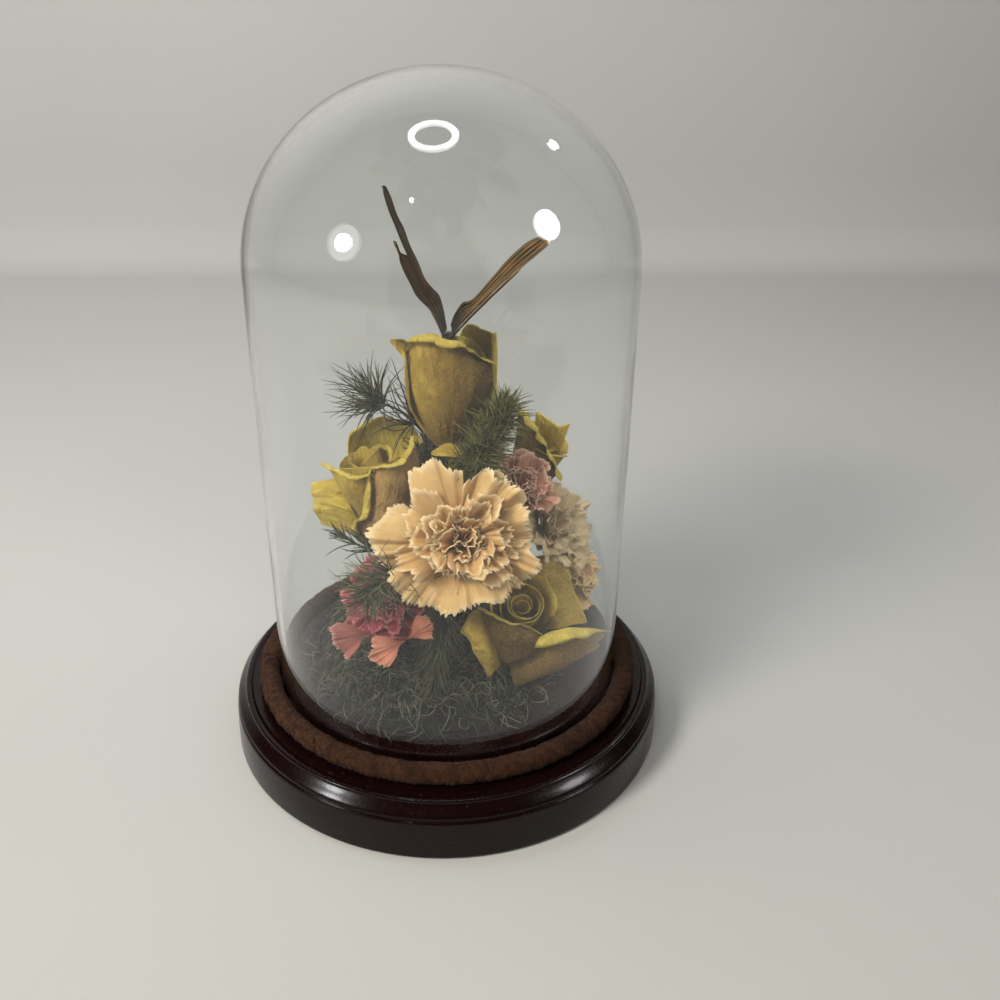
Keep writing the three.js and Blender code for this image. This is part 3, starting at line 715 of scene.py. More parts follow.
GUIDE_TABLE = """
left_rose 1
-25 -4 85.6, -24.1 -6 85.8, -23.3 -7 85.9, -22.1 -7 85.9, -20.9 -6 85.8
-32.7 -9 99.3, -31.8 -11 100.3, -30.9 -12 100.9, -29.8 -12 101.3, -28.7 -11 101.2
-38.8 -8 108.8, -36 -13 111.4, -33.2 -15 112.3, -30.9 -15 112.3, -29.2 -13 111.7
-42.8 -6 115.6, -38.7 -13 116.9, -34.7 -16 117.5, -31 -16 117.4, -27.9 -13 116.7
-46 -2 119, -39.8 -11 120.1, -34.9 -16 120.6, -30.9 -16 119.9, -27.3 -12 118.1
left_rose 4
-24.2 -5 83.9, -23.3 -7 84.6, -22.1 -8 84.6, -21 -7 84.5, -19.8 -5 84.3
-32.4 -12 94.3, -28.3 -15 95, -24 -16 95.5, -19.9 -14 96.1, -16.6 -9 95.9
-30.3 -14 103.2, -25.8 -18 105.3, -20.9 -19 106.6, -16.5 -15 107, -12.8 -8 107.6
-28.3 -15 113.1, -23.1 -19 115.1, -17.9 -18 116.6, -13.5 -13 118.6, -10.3 -5 120.7
-25.7 -14 121.8, -21.3 -18 124.9, -17 -16 126.3, -14.4 -11 128.5, -13.1 -3 129.6
left_rose 5
-22.1 0 82.4, -23.4 2 81.2, -24.7 3 80.7, -25.9 3 81.2, -27 2 82.2
-12.1 8 102.1, -17.2 14 99.2, -23.9 16 97.3, -31 14 98.4, -35.2 8 104.2
-8.3 8 114.5, -13.2 15 113.1, -21.8 18 112.7, -31.7 16 112.8, -38.1 8 115.7
-8.9 9 120.6, -13.8 16 122.3, -23.8 19 122.8, -33.6 16 122.5, -38.6 8 120.9
-9.6 9 124, -15.6 16 126.7, -24.7 18 129.3, -33.8 15 126.8, -37.2 8 125.2
left_rose 6
-26.6 -3 86.4, -25.8 -4 85.6, -25 -5 84.8, -24.2 -5 83.9, -23.5 -5 82.9
-35.2 -3 103.6, -33.7 -5 100.2, -32.7 -6 96.3, -32 -7 92.4, -31.9 -6 87.3
-40.9 -3 112.4, -39.2 -5 106.9, -38.1 -7 101.8, -37.6 -7 96.5, -37.3 -6 90.6
-46.8 -2 112.4, -45.6 -5 108.7, -44.5 -7 104.5, -43.7 -7 99.2, -42.7 -5 92.6
-51.9 0 110.4, -52 -3 107.4, -51.3 -5 104, -50.3 -5 99.2, -49.1 -3 94.1
front_rose 1
23.8 -24 53.6, 25.3 -26 53.5, 26.8 -27 53.7, 28.5 -26 53.5, 30.1 -25 54.2
17.9 -33 46.2, 23.1 -37 49.5, 28.3 -39 53.2, 33.9 -37 54.9, 38.5 -33 55.3
15.3 -36 57, 20.8 -42 60.2, 26.7 -43 61.7, 33.1 -40 61.3, 38.3 -34 58.8
13.7 -37 67, 18.7 -43 67.8, 25 -44 67.4, 31.4 -41 64.8, 37.1 -34 60.2
12.3 -34 73, 16.9 -40 74.1, 22.4 -43 72.7, 29 -41 67.8, 35.8 -35 61.6
front_rose 4
25.8 -24 52.6, 27.4 -25 52.3, 29 -25 52.3, 30.6 -24 52.5, 31.9 -23 53.7
26.3 -32 35.3, 33.7 -34 40.3, 42.3 -34 44.4, 51 -30 47.1, 57.6 -25 47.7
24.6 -34 42, 32.2 -37 46.4, 40.9 -38 50.7, 50.4 -33 51.7, 58.9 -26 51.3
23.5 -32 46.8, 30.6 -35 51.2, 39.2 -37 57.1, 49.3 -34 57.1, 60.4 -26 53.2
23.1 -31 50.9, 30.2 -34 55.2, 37.8 -38 63, 47.9 -34 61.8, 61.5 -25 54.6
front_rose 5
31.7 -24 56.3, 30.6 -23 56.6, 29.5 -22 56.9, 28.3 -21 56.7, 27.1 -21 56.8
40.8 -31 60.9, 37.9 -27 65.7, 35.3 -24 70.3, 31.8 -23 73.5, 27.9 -23 73.5
47.4 -31 62.6, 44.3 -25 68.9, 40.9 -21 75.7, 35.5 -19 79.2, 26.8 -19 78.9
52.8 -29 62.1, 49.7 -22 69.7, 45.9 -17 78.7, 38.5 -14 83, 26.3 -14 80.9
front_rose 6
22.6 -25 53.9, 22.9 -26 53.6, 23.6 -27 53.3, 24.4 -27 52.8, 25.2 -27 52.3
13.8 -34 70.9, 15.2 -37 66.5, 16.7 -39 61.4, 18.2 -40 56.5, 19.6 -38 49.4
9.9 -35 73, 11 -39 68.9, 13.1 -42 64.5, 15.4 -43 57.8, 17.5 -41 49.3
7.3 -35 69.4, 7.6 -39 67.1, 10.1 -42 63.7, 12.8 -43 57, 16 -41 47
5 -35 64.4, 6.1 -38 64.6, 8.6 -41 62.5, 11.7 -42 55.8, 15.2 -40 46.2
top_rose 1
-6.2 1 128.2, -3 -3 126.9, 0.8 -4 126.4, 4.2 -3 126.6, 6.8 1 127.8
-11.2 1 136.3, -5.4 -7 138, 1.4 -9 138, 7.3 -7 138.3, 12.1 1 137.8
-13.9 2 148.2, -7.3 -10 151.2, 1.5 -13 150.8, 10.6 -10 151.5, 17 2 148.7
-14.7 2 156.9, -8.4 -11 163.1, 0.5 -14 162.2, 10.6 -11 158.8, 17.7 2 154.3
-14.2 2 161.6, -8.3 -9 170.7, -1.5 -13 172.7, 7.7 -11 166.4, 17.3 2 158.1
top_rose 3
9.5 4 125.6, 7.6 6 124.3, 5.7 7 123.9, 3.7 7 123.9
17.2 4 142.3, 15.2 11 137.4, 11.3 14 135.4, 5.8 15 134.6
17.8 4 152.4, 15.5 12 149, 11 15 147.1, 5.5 16 146.8
17.4 5 161.1, 14.3 12 159.5, 9.8 15 158.5, 5.2 16 157.4
17.2 5 168.2, 14.2 11 167.8, 9 14 168.4, 5.6 15 163.3
top_rose 4
-1.8 3 127.1, -1.8 1.5 126.9, -1.8 0 127.1, -1.4 -1 127.1
-11.6 9 138.4, -12.7 5 138.8, -12.9 0 140.1, -12 -5 141.3
-13.2 10 151.6, -14.2 5 152.6, -14.4 0 153.7, -13.5 -6 155.2
-12.2 9 160.7, -13.9 4 162.1, -14.5 0 162.7, -14 -5 162.9
-14.9 5 166.2, -17.1 3 166.3, -16.8 0 164.6, -15.3 -3 162.8
-19.5 2 167.6, -19.5 1.5 167.5, -19.4 1 167.2, -19.1 0 167.1
back_rose 4
28.9 12 99.5, 29.6 11 99.6, 30.4 11 99.6, 31.3 11 99.6, 32.2 12 99.5
28.2 12 113.1, 30.5 5 114.6, 34.4 3 112.9, 38.6 5 109.2, 42.1 10 103.6
28.4 13 124.5, 30.3 6 126.7, 34.1 3 122.4, 38.3 4 115.8, 42.7 9 106.3
29.1 13 133.5, 30.9 7 135.5, 34.8 4 129.6, 38.9 4 121, 44.3 9 108.1
back_rose 3
33 12 99.5, 32.3 14 98.5, 31.6 15 98, 30.8 15 98.5
44.9 12 110.2, 42.4 16 110.1, 39.5 20 110.1, 36.4 22 110.6
46.9 12 120.4, 44 16 121.7, 40.8 20 122.2, 36.8 22 123.1
49.4 12 128.6, 45.4 15 126, 41.4 20 127, 36.6 22 129.3"""
GUIDES = {}
for line in GUIDE_TABLE.strip().splitlines():
    if "_" in line:
        rose_name, number = line.split()
        GUIDES[rose_name, int(number)] = []
    else:
        row = [[float(part) for part in point.split()] for point in line.split(",")]
        GUIDES[rose_name, int(number)].append(row)
print(len(GUIDES), "guided petals")

# %% [markdown]
# Dried yellow roses are bright inside the cup and along every rolled rim, and fade to
# tan, pink-brown and brown on the backs. The material blends these by the skin the
# point is on, by how near the rim it is, and by the petal's own tone. Fine streaks run
# from base to rim: noise that is stretched along the petal. They also give the bump.
# Every bloom sits on its calyx, a point in mm, and faces one way. BLOOMS holds both.

# %% Rose finish
BLOOMS = {
    "top_rose": ((1, 3, 128), (0, -0.05, 1)),
    "left_rose": ((-23.5, -1, 82), (-0.2, -0.06, 0.98)),
    "front_rose": ((27, -20, 54), (0.06, -0.56, 0.83)),
    "back_rose": ((30, 14, 98), (0.36, 0.02, 0.93)),
    "front_carnation": ((5, -27, 98), (0, -0.85, 0.53)),
    "pink_bloom": ((27, -3, 104), (0.2, -0.5, 0.84)),
    "beige_carnation": ((37, 3, 86), (0.6, -0.5, 0.62)),
    "peach_carnation": ((45, -2, 68), (0.8, -0.42, 0.42)),
    "red_bloom": ((-20.5, -14, 65), (-0.42, -0.75, 0.51))}
rose_finish = new_finish("rose_petal", 0.62, 0.06)
rose_place = place()
rose_side = value_of("side")
rose_along = value_of("along")
rose_across = value_of("across")
rose_tone = value_of("tone")
streak_at = vector_of(calculate("MULTIPLY", rose_across, 16.0), calculate("MULTIPLY", rose_along, 2.2),
                      rose_tone)
streaks = noise(streak_at, 2.0, 5.0, 0.6, 0.3)
cloud = noise(rose_place, 110.0, 4.0, 0.6)
speckle = noise(rose_place, 1400.0, 2.0, 0.6)
bright = mix(spread(cloud, 0.35, 0.7), tint("f2d55a"), tint("dcb94a"))
bright = mix(spread(rose_along, 0.45, 0.05, 0, 0.6), bright, tint("876c28"))
bright = mix(spread(rose_tone, 0.35, 1.2, 0, 0.8), bright, tint("94763a"))
back = mix(spread(cloud, 0.3, 0.7), tint("c49c4c"), tint("9a722e"))
back = mix(spread(rose_along, 0.75, 0.05, 0, 0.85), back, tint("6f4519"))
back = mix(spread(rose_tone, 0.6, 1.3, 0, 0.95), back, tint("4a280c"))
back = mix(value_of("blush"), back, tint("c69c6c"))
back_share = calculate("MULTIPLY", calculate("SUBTRACT", 1.0, rose_side), spread(rose_tone, 0, 1))
petal_colour = mix(back_share, bright, back)
rim_share = spread(rose_along, 0.94, 0.99, 0, 0.8)
petal_colour = mix(rim_share, petal_colour, tint("dccb62"))
# The rolled rim's bright yellow; on petals given painted_light it is also painted light over their upper part.
roll_and_painted_light_share = calculate("MULTIPLY", value_of("rolled"), rose_side)
petal_colour = mix(spread(roll_and_painted_light_share, 0, 1, 0, 0.6), petal_colour, tint("f4de66"))
petal_colour = mix(spread(streaks, 0.35, 0.7, 0, 0.35), petal_colour, tint("8a6226"), "MULTIPLY")
petal_colour = mix(spread(speckle, 0.3, 0.8, 0.0, 0.25), petal_colour, tint("efdd8c"))
crinkle = noise(rose_place, 190.0, 6.0, 0.65, 1.2)
# Painted shade: where the crinkle dips, the colour is darkened towards b48c4c, as well as bumped.
petal_colour = mix(spread(crinkle, 0.6, 0.35, 0, 0.2), petal_colour, tint("b48c4c"), "MULTIPLY")
rose_bump = bump(crinkle, 0.004, 1.0)
rose_bump = bump(streaks, 0.0008, 0.4, rose_bump)
rose_bump = bump(speckle, 0.0002, 0.5, rose_bump)
principled({"Base Color": petal_colour, "Normal": rose_bump})
principled({"Roughness": spread(cloud, 0.2, 0.8, 0.5, 0.75)})
principled({"Sheen Weight": 0.02, "Sheen Roughness": 0.4})
see_through(0.22, petal_colour)


def seat_of(name, above):
    """Where a bloom's petals start, above its calyx in mm, and the unit vector it faces along."""
    calyx, facing = BLOOMS[name]
    facing = unit(np.array(facing, float))
    return np.array(calyx, float) + above * facing, facing


def whorl(centre_turn, radii, heights, calyx, facing, tone, roll=40, seed=0, spread_angle=150):
    """A rose's heart: tight petals one inside the other, each turned by the golden angle."""
    made = []
    for k, (radius, height) in enumerate(zip(radii, heights)):
        spec = dict(turn=centre_turn + 137.5 * k, spread_angle=spread_angle, radius=radius, height=height,
                    flare=0.05, roll=(roll, roll * 0.6, roll * 0.2), lip=1.6, drop=0.1, spiral=radius * 0.16,
                    seed=seed + k, dents=0.18, rows=24, columns=40)
        made.append(petal_form(spec, calyx, facing, tone, 0.35))
    return join(made)


def rose(name, heart, petals):
    """One rose: its heart piece, and one piece for each large petal, cup-shaped or guided."""
    seat = seat_of(name, 0.9)[0]
    facing = BLOOMS[name][1]
    centre = whorl(calyx=seat, facing=facing, **heart)
    piece(name + "_whorl", centre, rose_finish, "yellow_rose_petal", name + "_heart")
    for number, spec in petals.items():
        if (name, number) in GUIDES:
            shape = guided_petal(GUIDES[name, number], seed=number, **spec)
        else:
            shape = petal_form(spec, seat, facing, spec.pop("tone"))
        node = f"{name}_petal_{number}"
        piece(node + "_curled", shape, rose_finish, "yellow_rose_petal", node)

# %% [markdown]
# The top rose is a tall bud, like a barrel: a front and a back petal outside, two more
# inside. The front petal's rim is a thick yellow roll that slopes down to the right,
# the left one ends in a torn point, and the right one stands up behind.

# %% Top rose
rose("top_rose",
     dict(centre_turn=200, radii=(3.5, 5.5, 7.5), heights=(29, 30, 31), tone=0.6, seed=11),
     {1: dict(lip=([0.9, 1.7, 1.9, 1.6, 0.8], [110, 190, 205, 200, 160]), tone=0.8, brown_and_shade_right=0.6,
              dents=0.75, rows=70, columns=96),
      2: dict(turn=90, spread_angle=100, radius=14.0, height=32, flare=0.0, roll=(30, 20, 30), lip=3,
              seed=24, tone=0.9),
      3: dict(lip=(0.5, 80), left=(1.1, 200), tone=0.9),
      4: dict(lip=(0.3, 40), tone=0.5)})

# %% [markdown]
# The left rose has opened unevenly. A domed petal stands at the back, the front ones
# are lower, one hangs out to the left, and the right one's left edge is a long roll.

# %% Left rose
rose("left_rose",
     dict(centre_turn=-68, radii=(1.6, 3.0, 4.6, 6.4, 8.2, 9.6), heights=(36, 42, 39, 42, 38, 40),
          tone=0.1, seed=31, roll=15, spread_angle=95),
     {1: dict(lip=(1.3, 150), tone=0.35),
      2: dict(turn=35, spread_angle=46, radius=9.0, height=39, flare=0.05, roll=(110, 40, 10), lip=2.2,
              seed=42, tone=0.2),
      3: dict(turn=165, spread_angle=50, radius=10, height=32, flare=0.1, roll=(40, 30, 40), lip=2.5,
              seed=43, tone=0.2),
      4: dict(lip=([1.2, 1.5, 1.6, 1.4, 1.0], [120, 150, 160, 150, 110]),
              left=([0.8, 1.7, 2.1, 2.0, 1.3], 215), tone=0.75, blush=0.9),
      # Petals 5 and 6 have painted light: their upper part is painted brighter yellow where they lie in shade.
      5: dict(lip=(0.7, 90), tone=0.15, dents=0.45, painted_light=0.9),
      6: dict(lip=(0.6, 60), tone=0.15, dents=0.5, painted_light=0.3)})

# %% [markdown]
# The front rose faces the viewer: a round heart inside a ring, and wide outer petals
# whose rims fold over. One at the left is folded along its middle.

# %% Front rose
rose("front_rose",
     dict(centre_turn=0, radii=(2.2, 3.8, 5.6, 7.2), heights=(21, 22, 23, 23.5), tone=0.5, seed=51, roll=50),
     # Petal 1's high tone and small blush are partly painted shade: it is coloured darker where it lies in
     # shadow.
     {1: dict(lip=(0.9, 150), tone=1.25, blush=0.05),
      2: dict(turn=50, spread_angle=66, radius=10.0, height=22, flare=0.15, roll=(60, 40, 60), lip=3,
              seed=62, tone=0.4),
      3: dict(turn=140, spread_angle=66, radius=10.5, height=23, flare=0.1, roll=(60, 40, 60), lip=3,
              seed=63, tone=0.4),
      4: dict(lip=([0.6, 1.2, 2.7, 3.0, 1.2], [120, 170, 190, 190, 90]), tone=1.0, blush=0.2),
      5: dict(lip=(1.5, 90), tone=1.1, dents=0.5),
      6: dict(lip=(1.0, 120), tone=0.9)})

# %% [markdown]
# The back rose is small and half hidden, but it is seen from the side and the back.

# %% Back rose
rose("back_rose",
     dict(centre_turn=60, radii=(2.4, 4.0, 5.6), heights=(20, 21, 21), tone=0.4, seed=71),
     {1: dict(turn=-90, spread_angle=95, radius=8.2, height=22, flare=0.2, roll=(60, 90, 60), lip=3,
              seed=81, tone=0.4),
      2: dict(turn=90, spread_angle=95, radius=8.2, height=24, flare=0.2, roll=(60, 50, 60), lip=3,
              seed=82, tone=0.4),
      3: dict(lip=(0.6, 90), tone=0.2),
      4: dict(lip=(2.0, 180), tone=1.0)})

# %% [markdown]
# A carnation petal is a fan: narrow at its claw, pleated further out, and cut into
# small teeth at the edge. A head is thirty to forty of them, so all the fans of a head
# are worked out as one array. Inner fans stand upright and fold; outer ones lie flat.

# %% Fan petals
def fans(seat, facing, table, seed=0, teeth=15, tooth=1.5, rows=14, columns=76, thickness=0.3):
    """Many fans at once, one for each row of the table.

    A row is [azimuth, reach, half width, lean, bend, pleat, waves, fold, tone]. At radius s and angle a
    a fan has s sin a across and s cos a out. Pleats lift it by a sine of a times v^1.6, a fold lifts
    both sides by |u|^1.5 v, and a sawtooth shortens s near the edge: teeth is their number on a fan 44
    degrees wide, tooth their depth in mm. The mid-line leans from the bloom's axis by lean at the claw
    and by bend more at the rim.
    """
    table = np.asarray(table, float)
    count = len(table)
    azimuth, reach, half_width, lean, bend, pleat, waves, fold, tone = table.T[:, :, None, None]
    phase = np.random.default_rng(seed).uniform(0, 2 * np.pi, (8, count, 1, 1))
    u = np.linspace(-1, 1, columns)[None, None, :]
    v = np.linspace(0, 1, rows)[None, :, None]
    tooth_at = u * teeth / 44 * half_width + phase[0] + 0.8 * np.sin(5 * u + phase[1])
    tooth_at = tooth_at + 0.3 * np.sin(17 * u + phase[2])
    saw = 2 * np.abs(tooth_at % 1 - 0.5) * (0.6 + 0.4 * np.sin(7.3 * u + phase[2]))
    saw = saw + 0.7 * np.abs(2.7 * tooth_at % 1 - 0.5)
    edge = 1 - 0.12 * np.abs(u) ** 2.5 + 0.05 * np.sin(3 * u + phase[3]) + 0.03 * np.sin(8 * u + phase[4])
    s = reach * (0.1 + 0.9 * v) * (1 + (edge - 1) * v ** 2) - tooth * saw * smoothstep(0.8, 1.0, v)
    angle = np.radians(half_width) * u * (0.3 + 0.7 * smoothstep(0.05, 0.55, v))
    lift = pleat * v ** 1.6 * np.sin(1.6 * waves * u + phase[5])
    frill = half_width / 26 * u + 0.12 * np.sin(4 * u + phase[1])
    lift = lift + 0.38 * pleat * v ** 2.5 * np.sin(11 * frill + phase[6] + 1.5 * v)
    lift = lift + 0.5 * v ** 3 * np.sin(23 * frill + phase[7] + 3 * v) + fold * np.abs(u) ** 1.5 * v
    across = s * np.sin(angle)
    ahead = np.gradient(s * np.cos(angle), axis=1)
    slope = np.radians(lean + bend * v ** 1.5)
    radial = np.cumsum(ahead * np.sin(slope), 1) - lift * np.cos(slope)
    height = np.cumsum(ahead * np.cos(slope), 1) + lift * np.sin(slope)
    turn = np.radians(azimuth)
    x = radial * np.cos(turn) - across * np.sin(turn)
    y = radial * np.sin(turn) + across * np.cos(turn)
    grids = stand(np.stack([x, y, height], -1), seat, facing)
    return shells(grids, thickness, along=v + 0 * u, across=u + 0 * v, tone=tone)


def head_table(seed, count, reach, half_width, lean, bend, pleat, waves, fold, tone=(1, 0)):
    """Rows for a head whose fans follow the golden angle, from the heart (first value) outwards (second)."""
    chance = np.random.default_rng(seed)
    rank = (np.arange(count) + 0.5) / count
    table = [137.508 * np.arange(count) + chance.normal(0, 8, count)]
    spreads = (0.08, 0.12, 0.12, 0.1, 0.15, 0.2, 0.2, 0)
    for (low, high), jitter in zip((reach, half_width, lean, bend, pleat, waves, fold, tone), spreads):
        table.append((low + (high - low) * rank) * (1 + chance.normal(0, 1, count) * jitter))
    return np.stack(table, -1)


def fan_finish(name, pale, warm, deep_and_claw_shade, edge, streak, translucent=0.3, veins=0.4):
    """Pale towards the rim, warm in the heart, darker at the claw as painted shade, with streaks and a paler or
    darker edge.
    """
    finish = new_finish(name, 0.75, 0.06)
    along, across = value_of("along"), value_of("across")
    tone = value_of("tone")
    cloud = noise(place(), 140.0, 4.0, 0.6)
    at = vector_of(calculate("MULTIPLY", across, 14.0), calculate("MULTIPLY", along, 1.6), tone)
    vein = noise(at, 2.4, 4.0, 0.55)
    colour = mix(spread(cloud, 0.3, 0.7), tint(pale), tint(warm))
    colour = mix(calculate("MULTIPLY", tone, 0.7), colour, tint(deep_and_claw_shade))
    # Painted shade: the claw is darkened towards deep_and_claw_shade, where the fans crowd together.
    colour = mix(spread(along, 0.65, 0.15, 0, 0.95), colour, tint(deep_and_claw_shade))
    colour = mix(spread(vein, 0.45, 0.75, 0, veins), colour, tint(streak))
    colour = mix(spread(along, 0.9, 1.0, 0, 0.8), colour, tint(edge))
    principled({"Base Color": colour, "Normal": bump(vein, 0.0006, 0.5)})
    principled({"Roughness": spread(cloud, 0.2, 0.8, 0.65, 0.85)})
    principled({"Sheen Weight": 0.03, "Sheen Roughness": 0.5})
    see_through(translucent, colour)
    return finish

# %% Carnation finishes
cream = fan_finish("cream_petal", "dfc08c", "cfa76e", "cc8644", "e8d5ac", "bb9058", 0.25, 0.22)
peach = fan_finish("peach_petal", "ddbb84", "cfa76c", "b07a40", "e0c896", "ae854f")
beige = fan_finish("beige_petal", "dac7a0", "c8b184", "a48452", "c2aa8c", "a68d70", 0.25)
dusty = fan_finish("dusty_pink_petal", "d0a289", "bb866e", "7c3c30", "d3b199", "702e26", 0.2, 0.8)
raspberry = fan_finish("raspberry_petal", "bb5563", "94394a", "5e1d2a", "cc8480", "4e1521", 0.2, 0.5)
salmon = fan_finish("salmon_petal", "dc967a", "c9806a", "8c4c3c", "d8a68e", "8c4c3e", 0.2)
rosy = fan_finish("rosy_petal", "ad6d62", "965850", "6c3a36", "cc9c8e", "663432", 0.2)

# %% Carnations
def carnation(name, finish, slot, table, **shape):
    """One head of fans on its calyx."""
    piece(name + "_head", fans(*seat_of(name, 0.3), table, **shape), finish, slot, name)


front_fans = [
    [113, 37, 20, 44, 42, 3.0, 1.4, 0, 0.0], [146, 31, 22, 36, 44, 3.2, 2.0, 0, 0.2],
    [176, 36, 26, 52, 42, 3.0, 2.0, 0, 0.0], [206, 32, 16, 34, 50, 3.0, 2.0, 0, 0.3],
    [236, 35, 29, 44, 56, 3.2, 1.8, 0, 0.0], [262, 24, 12, 38, 50, 2.0, 2.0, 0, 0.5],
    [290, 32, 30, 42, 50, 3.0, 1.5, 0, 0.0], [318, 29, 20, 34, 46, 2.6, 1.8, 0, 0.3],
    [344, 33, 24, 52, 38, 3.0, 2.4, 0, 0.1], [12, 32, 24, 42, 40, 3.4, 3.2, 0, 0.1],
    [38, 34, 28, 48, 34, 3.6, 4.0, 0, 0.0], [60, 33, 20, 44, 34, 3.4, 3.6, 0, 0.0],
    [86, 14, 12, 24, 30, 2.6, 2.0, 0, 0.9],
    [28, 30, 26, 28, 34, 4.0, 4.0, 0, 0.2], [50, 29, 20, 22, 32, 4.0, 3.8, 0, 0.2],
    [4, 28, 22, 24, 36, 3.6, 3.6, 0, 0.2], [200, 28, 28, 24, 38, 3.4, 1.8, 5, 0.3],
    [160, 26, 24, 20, 34, 3.4, 2.0, 5, 0.3], [128, 28, 24, 20, 32, 3.0, 2.0, 4, 0.3],
    [324, 28, 26, 26, 36, 3.4, 1.8, 5, 0.3], [286, 26, 18, 22, 42, 3.4, 1.8, 8, 0.4],
    [242, 26, 22, 18, 42, 3.2, 1.8, 5, 0.4], [120, 26, 16, 18, 32, 3.4, 2.0, 6, 0.4]]
heart_fans = head_table(5, 11, (19, 25), (32, 28), (3, 24), (8, 30), (2.8, 3.2), (1.8, 1.8), (10, 6),
                        (0.7, 0.4))
carnation("front_carnation", cream, "cream_petal",
          np.concatenate([front_fans, heart_fans]), seed=5, teeth=11, tooth=1.9, columns=110, rows=14)
carnation("pink_bloom", dusty, "dusty_pink_petal",
          head_table(8, 22, (15, 20), (24, 32), (8, 34), (10, 42), (1.2, 1.8), (4, 5), (5, 0), (0.6, 0)),
          seed=8, tooth=0.9, columns=64)
carnation("beige_carnation", beige, "beige_petal",
          head_table(12, 22, (17, 25), (26, 32), (8, 48), (12, 44), (1.6, 2.6), (2, 2.6), (5, 0), (0.5, 0)),
          seed=12, tooth=1.3, columns=64)
carnation("peach_carnation", peach, "cream_petal",
          head_table(15, 22, (15, 20), (26, 32), (8, 54), (12, 44), (1.6, 2.6), (2, 2.6), (5, 0), (0.6, 0)),
          seed=15, tooth=1.2, columns=64)
carnation("red_bloom", raspberry, "raspberry_petal",
          head_table(19, 30, (15, 22), (24, 32), (6, 54), (12, 50), (1.6, 2.6), (3, 4), (5, 0), (0.8, 0)),
          seed=19, tooth=1.2, columns=64)

# %% [markdown]
# A few petals have come loose and lie against the flowers: a narrow yellow one below the
# top rose, a salmon and a pink one on the moss. The pink ones are carnation petals, so
# fans() makes them too. The yellow one is a small keeled leaf shape.

# %% Loose petals
def leaf(centre, facing, length, width, rows=40, columns=24):
    """A pointed leaf with a keel: half width is sin(pi v)^0.8, |u| lifts the sides, v bends the line."""
    u = np.linspace(-1, 1, columns)[:, None]
    v = np.linspace(0.01, 0.99, rows)[None, :]
    half = width / 2 * np.sin(np.pi * v) ** 0.8
    x = (v - 0.5) * length + 0 * u
    y = u * half + 0.9 * np.sin(np.pi * v)
    z = 1.4 * np.abs(u) * np.sin(np.pi * v) + 0.3 * np.sin(9 * v + 3 * u)
    placed = stand(np.stack([x, y, z], -1), centre, facing)[None]
    return shells(placed, PETAL_THICKNESS, along=0.3 + 0.4 * np.abs(u) + 0 * v, across=u + 0 * v, tone=0.2)


piece("yellow_petal_loose", leaf((1, -13, 128), (0.05, -0.6, 0.8), 13, 5.5), rose_finish,
      "yellow_rose_petal", "loose_yellow_petal")
salmon_fans = [[207, 16, 29, 70, 16, 1.6, 2.6, 0, 0.1], [38, 13, 30, 66, 16, 1.4, 2.4, 0, 0.2]]
piece("salmon_petal_loose", fans((-15.5, -42, 65), (0.1, -0.8, 0.6), salmon_fans, seed=2, tooth=2.0, rows=22),
      salmon, "salmon_petal", "loose_salmon_petal")
piece("pink_petal_loose", fans((-28, -37, 66), (-0.1, -0.75, 0.66), [[196, 17, 30, 70, 16, 1.8, 2.4, 0, 0.1]],
                               seed=3, tooth=1.8, rows=22), rosy, "dusty_pink_petal", "loose_pink_petal")

# %% [markdown]
# Fern sprigs: a thin curved stem set with hundreds of soft needles that bend towards
# the tip. Each needle is a three-sided tube of a few dozen faces, tapering to a point.
# Hair curves would be quicker to make, but only meshes survive an export.

# %% Fern finish
def strand_finish(name, dark, light, scale=500.0):
    """Green strands whose shade differs from one to the next, with painted shade towards the root."""
    finish = new_finish(name, 0.7, 0.08)
    shade = value_of("shade")
    grain = noise(place(), scale, 3.0, 0.6)
    colour = mix(shade, tint(dark), tint(light))
    # Painted shade: each strand is darkened towards its root, deep in the tangle.
    colour = mix(spread(value_of("along"), 0.5, 0.0, 0, 0.5), colour, tint(dark))
    colour = mix(spread(grain, 0.4, 0.7, 0, 0.4), colour, tint("221d14"))
    principled({"Base Color": colour, "Normal": bump(grain, 0.0002, 0.5)})
    principled({"Roughness": spread(grain, 0.2, 0.8, 0.55, 0.8)})
    return finish


pale_finish = strand_finish("pale_fern", "1c1f14", "7d8062")
fern_finish = strand_finish("dried_fern", "12150f", "62644e")
olive_finish = strand_finish("olive_fern", "1d1c0c", "83804e")
moss_finish = strand_finish("dried_moss", "0a0b08", "74755f")
stem_finish = strand_finish("dried_stem", "2f2a1b", "6b6440", 300.0)


SPRIG_STEPS = 60


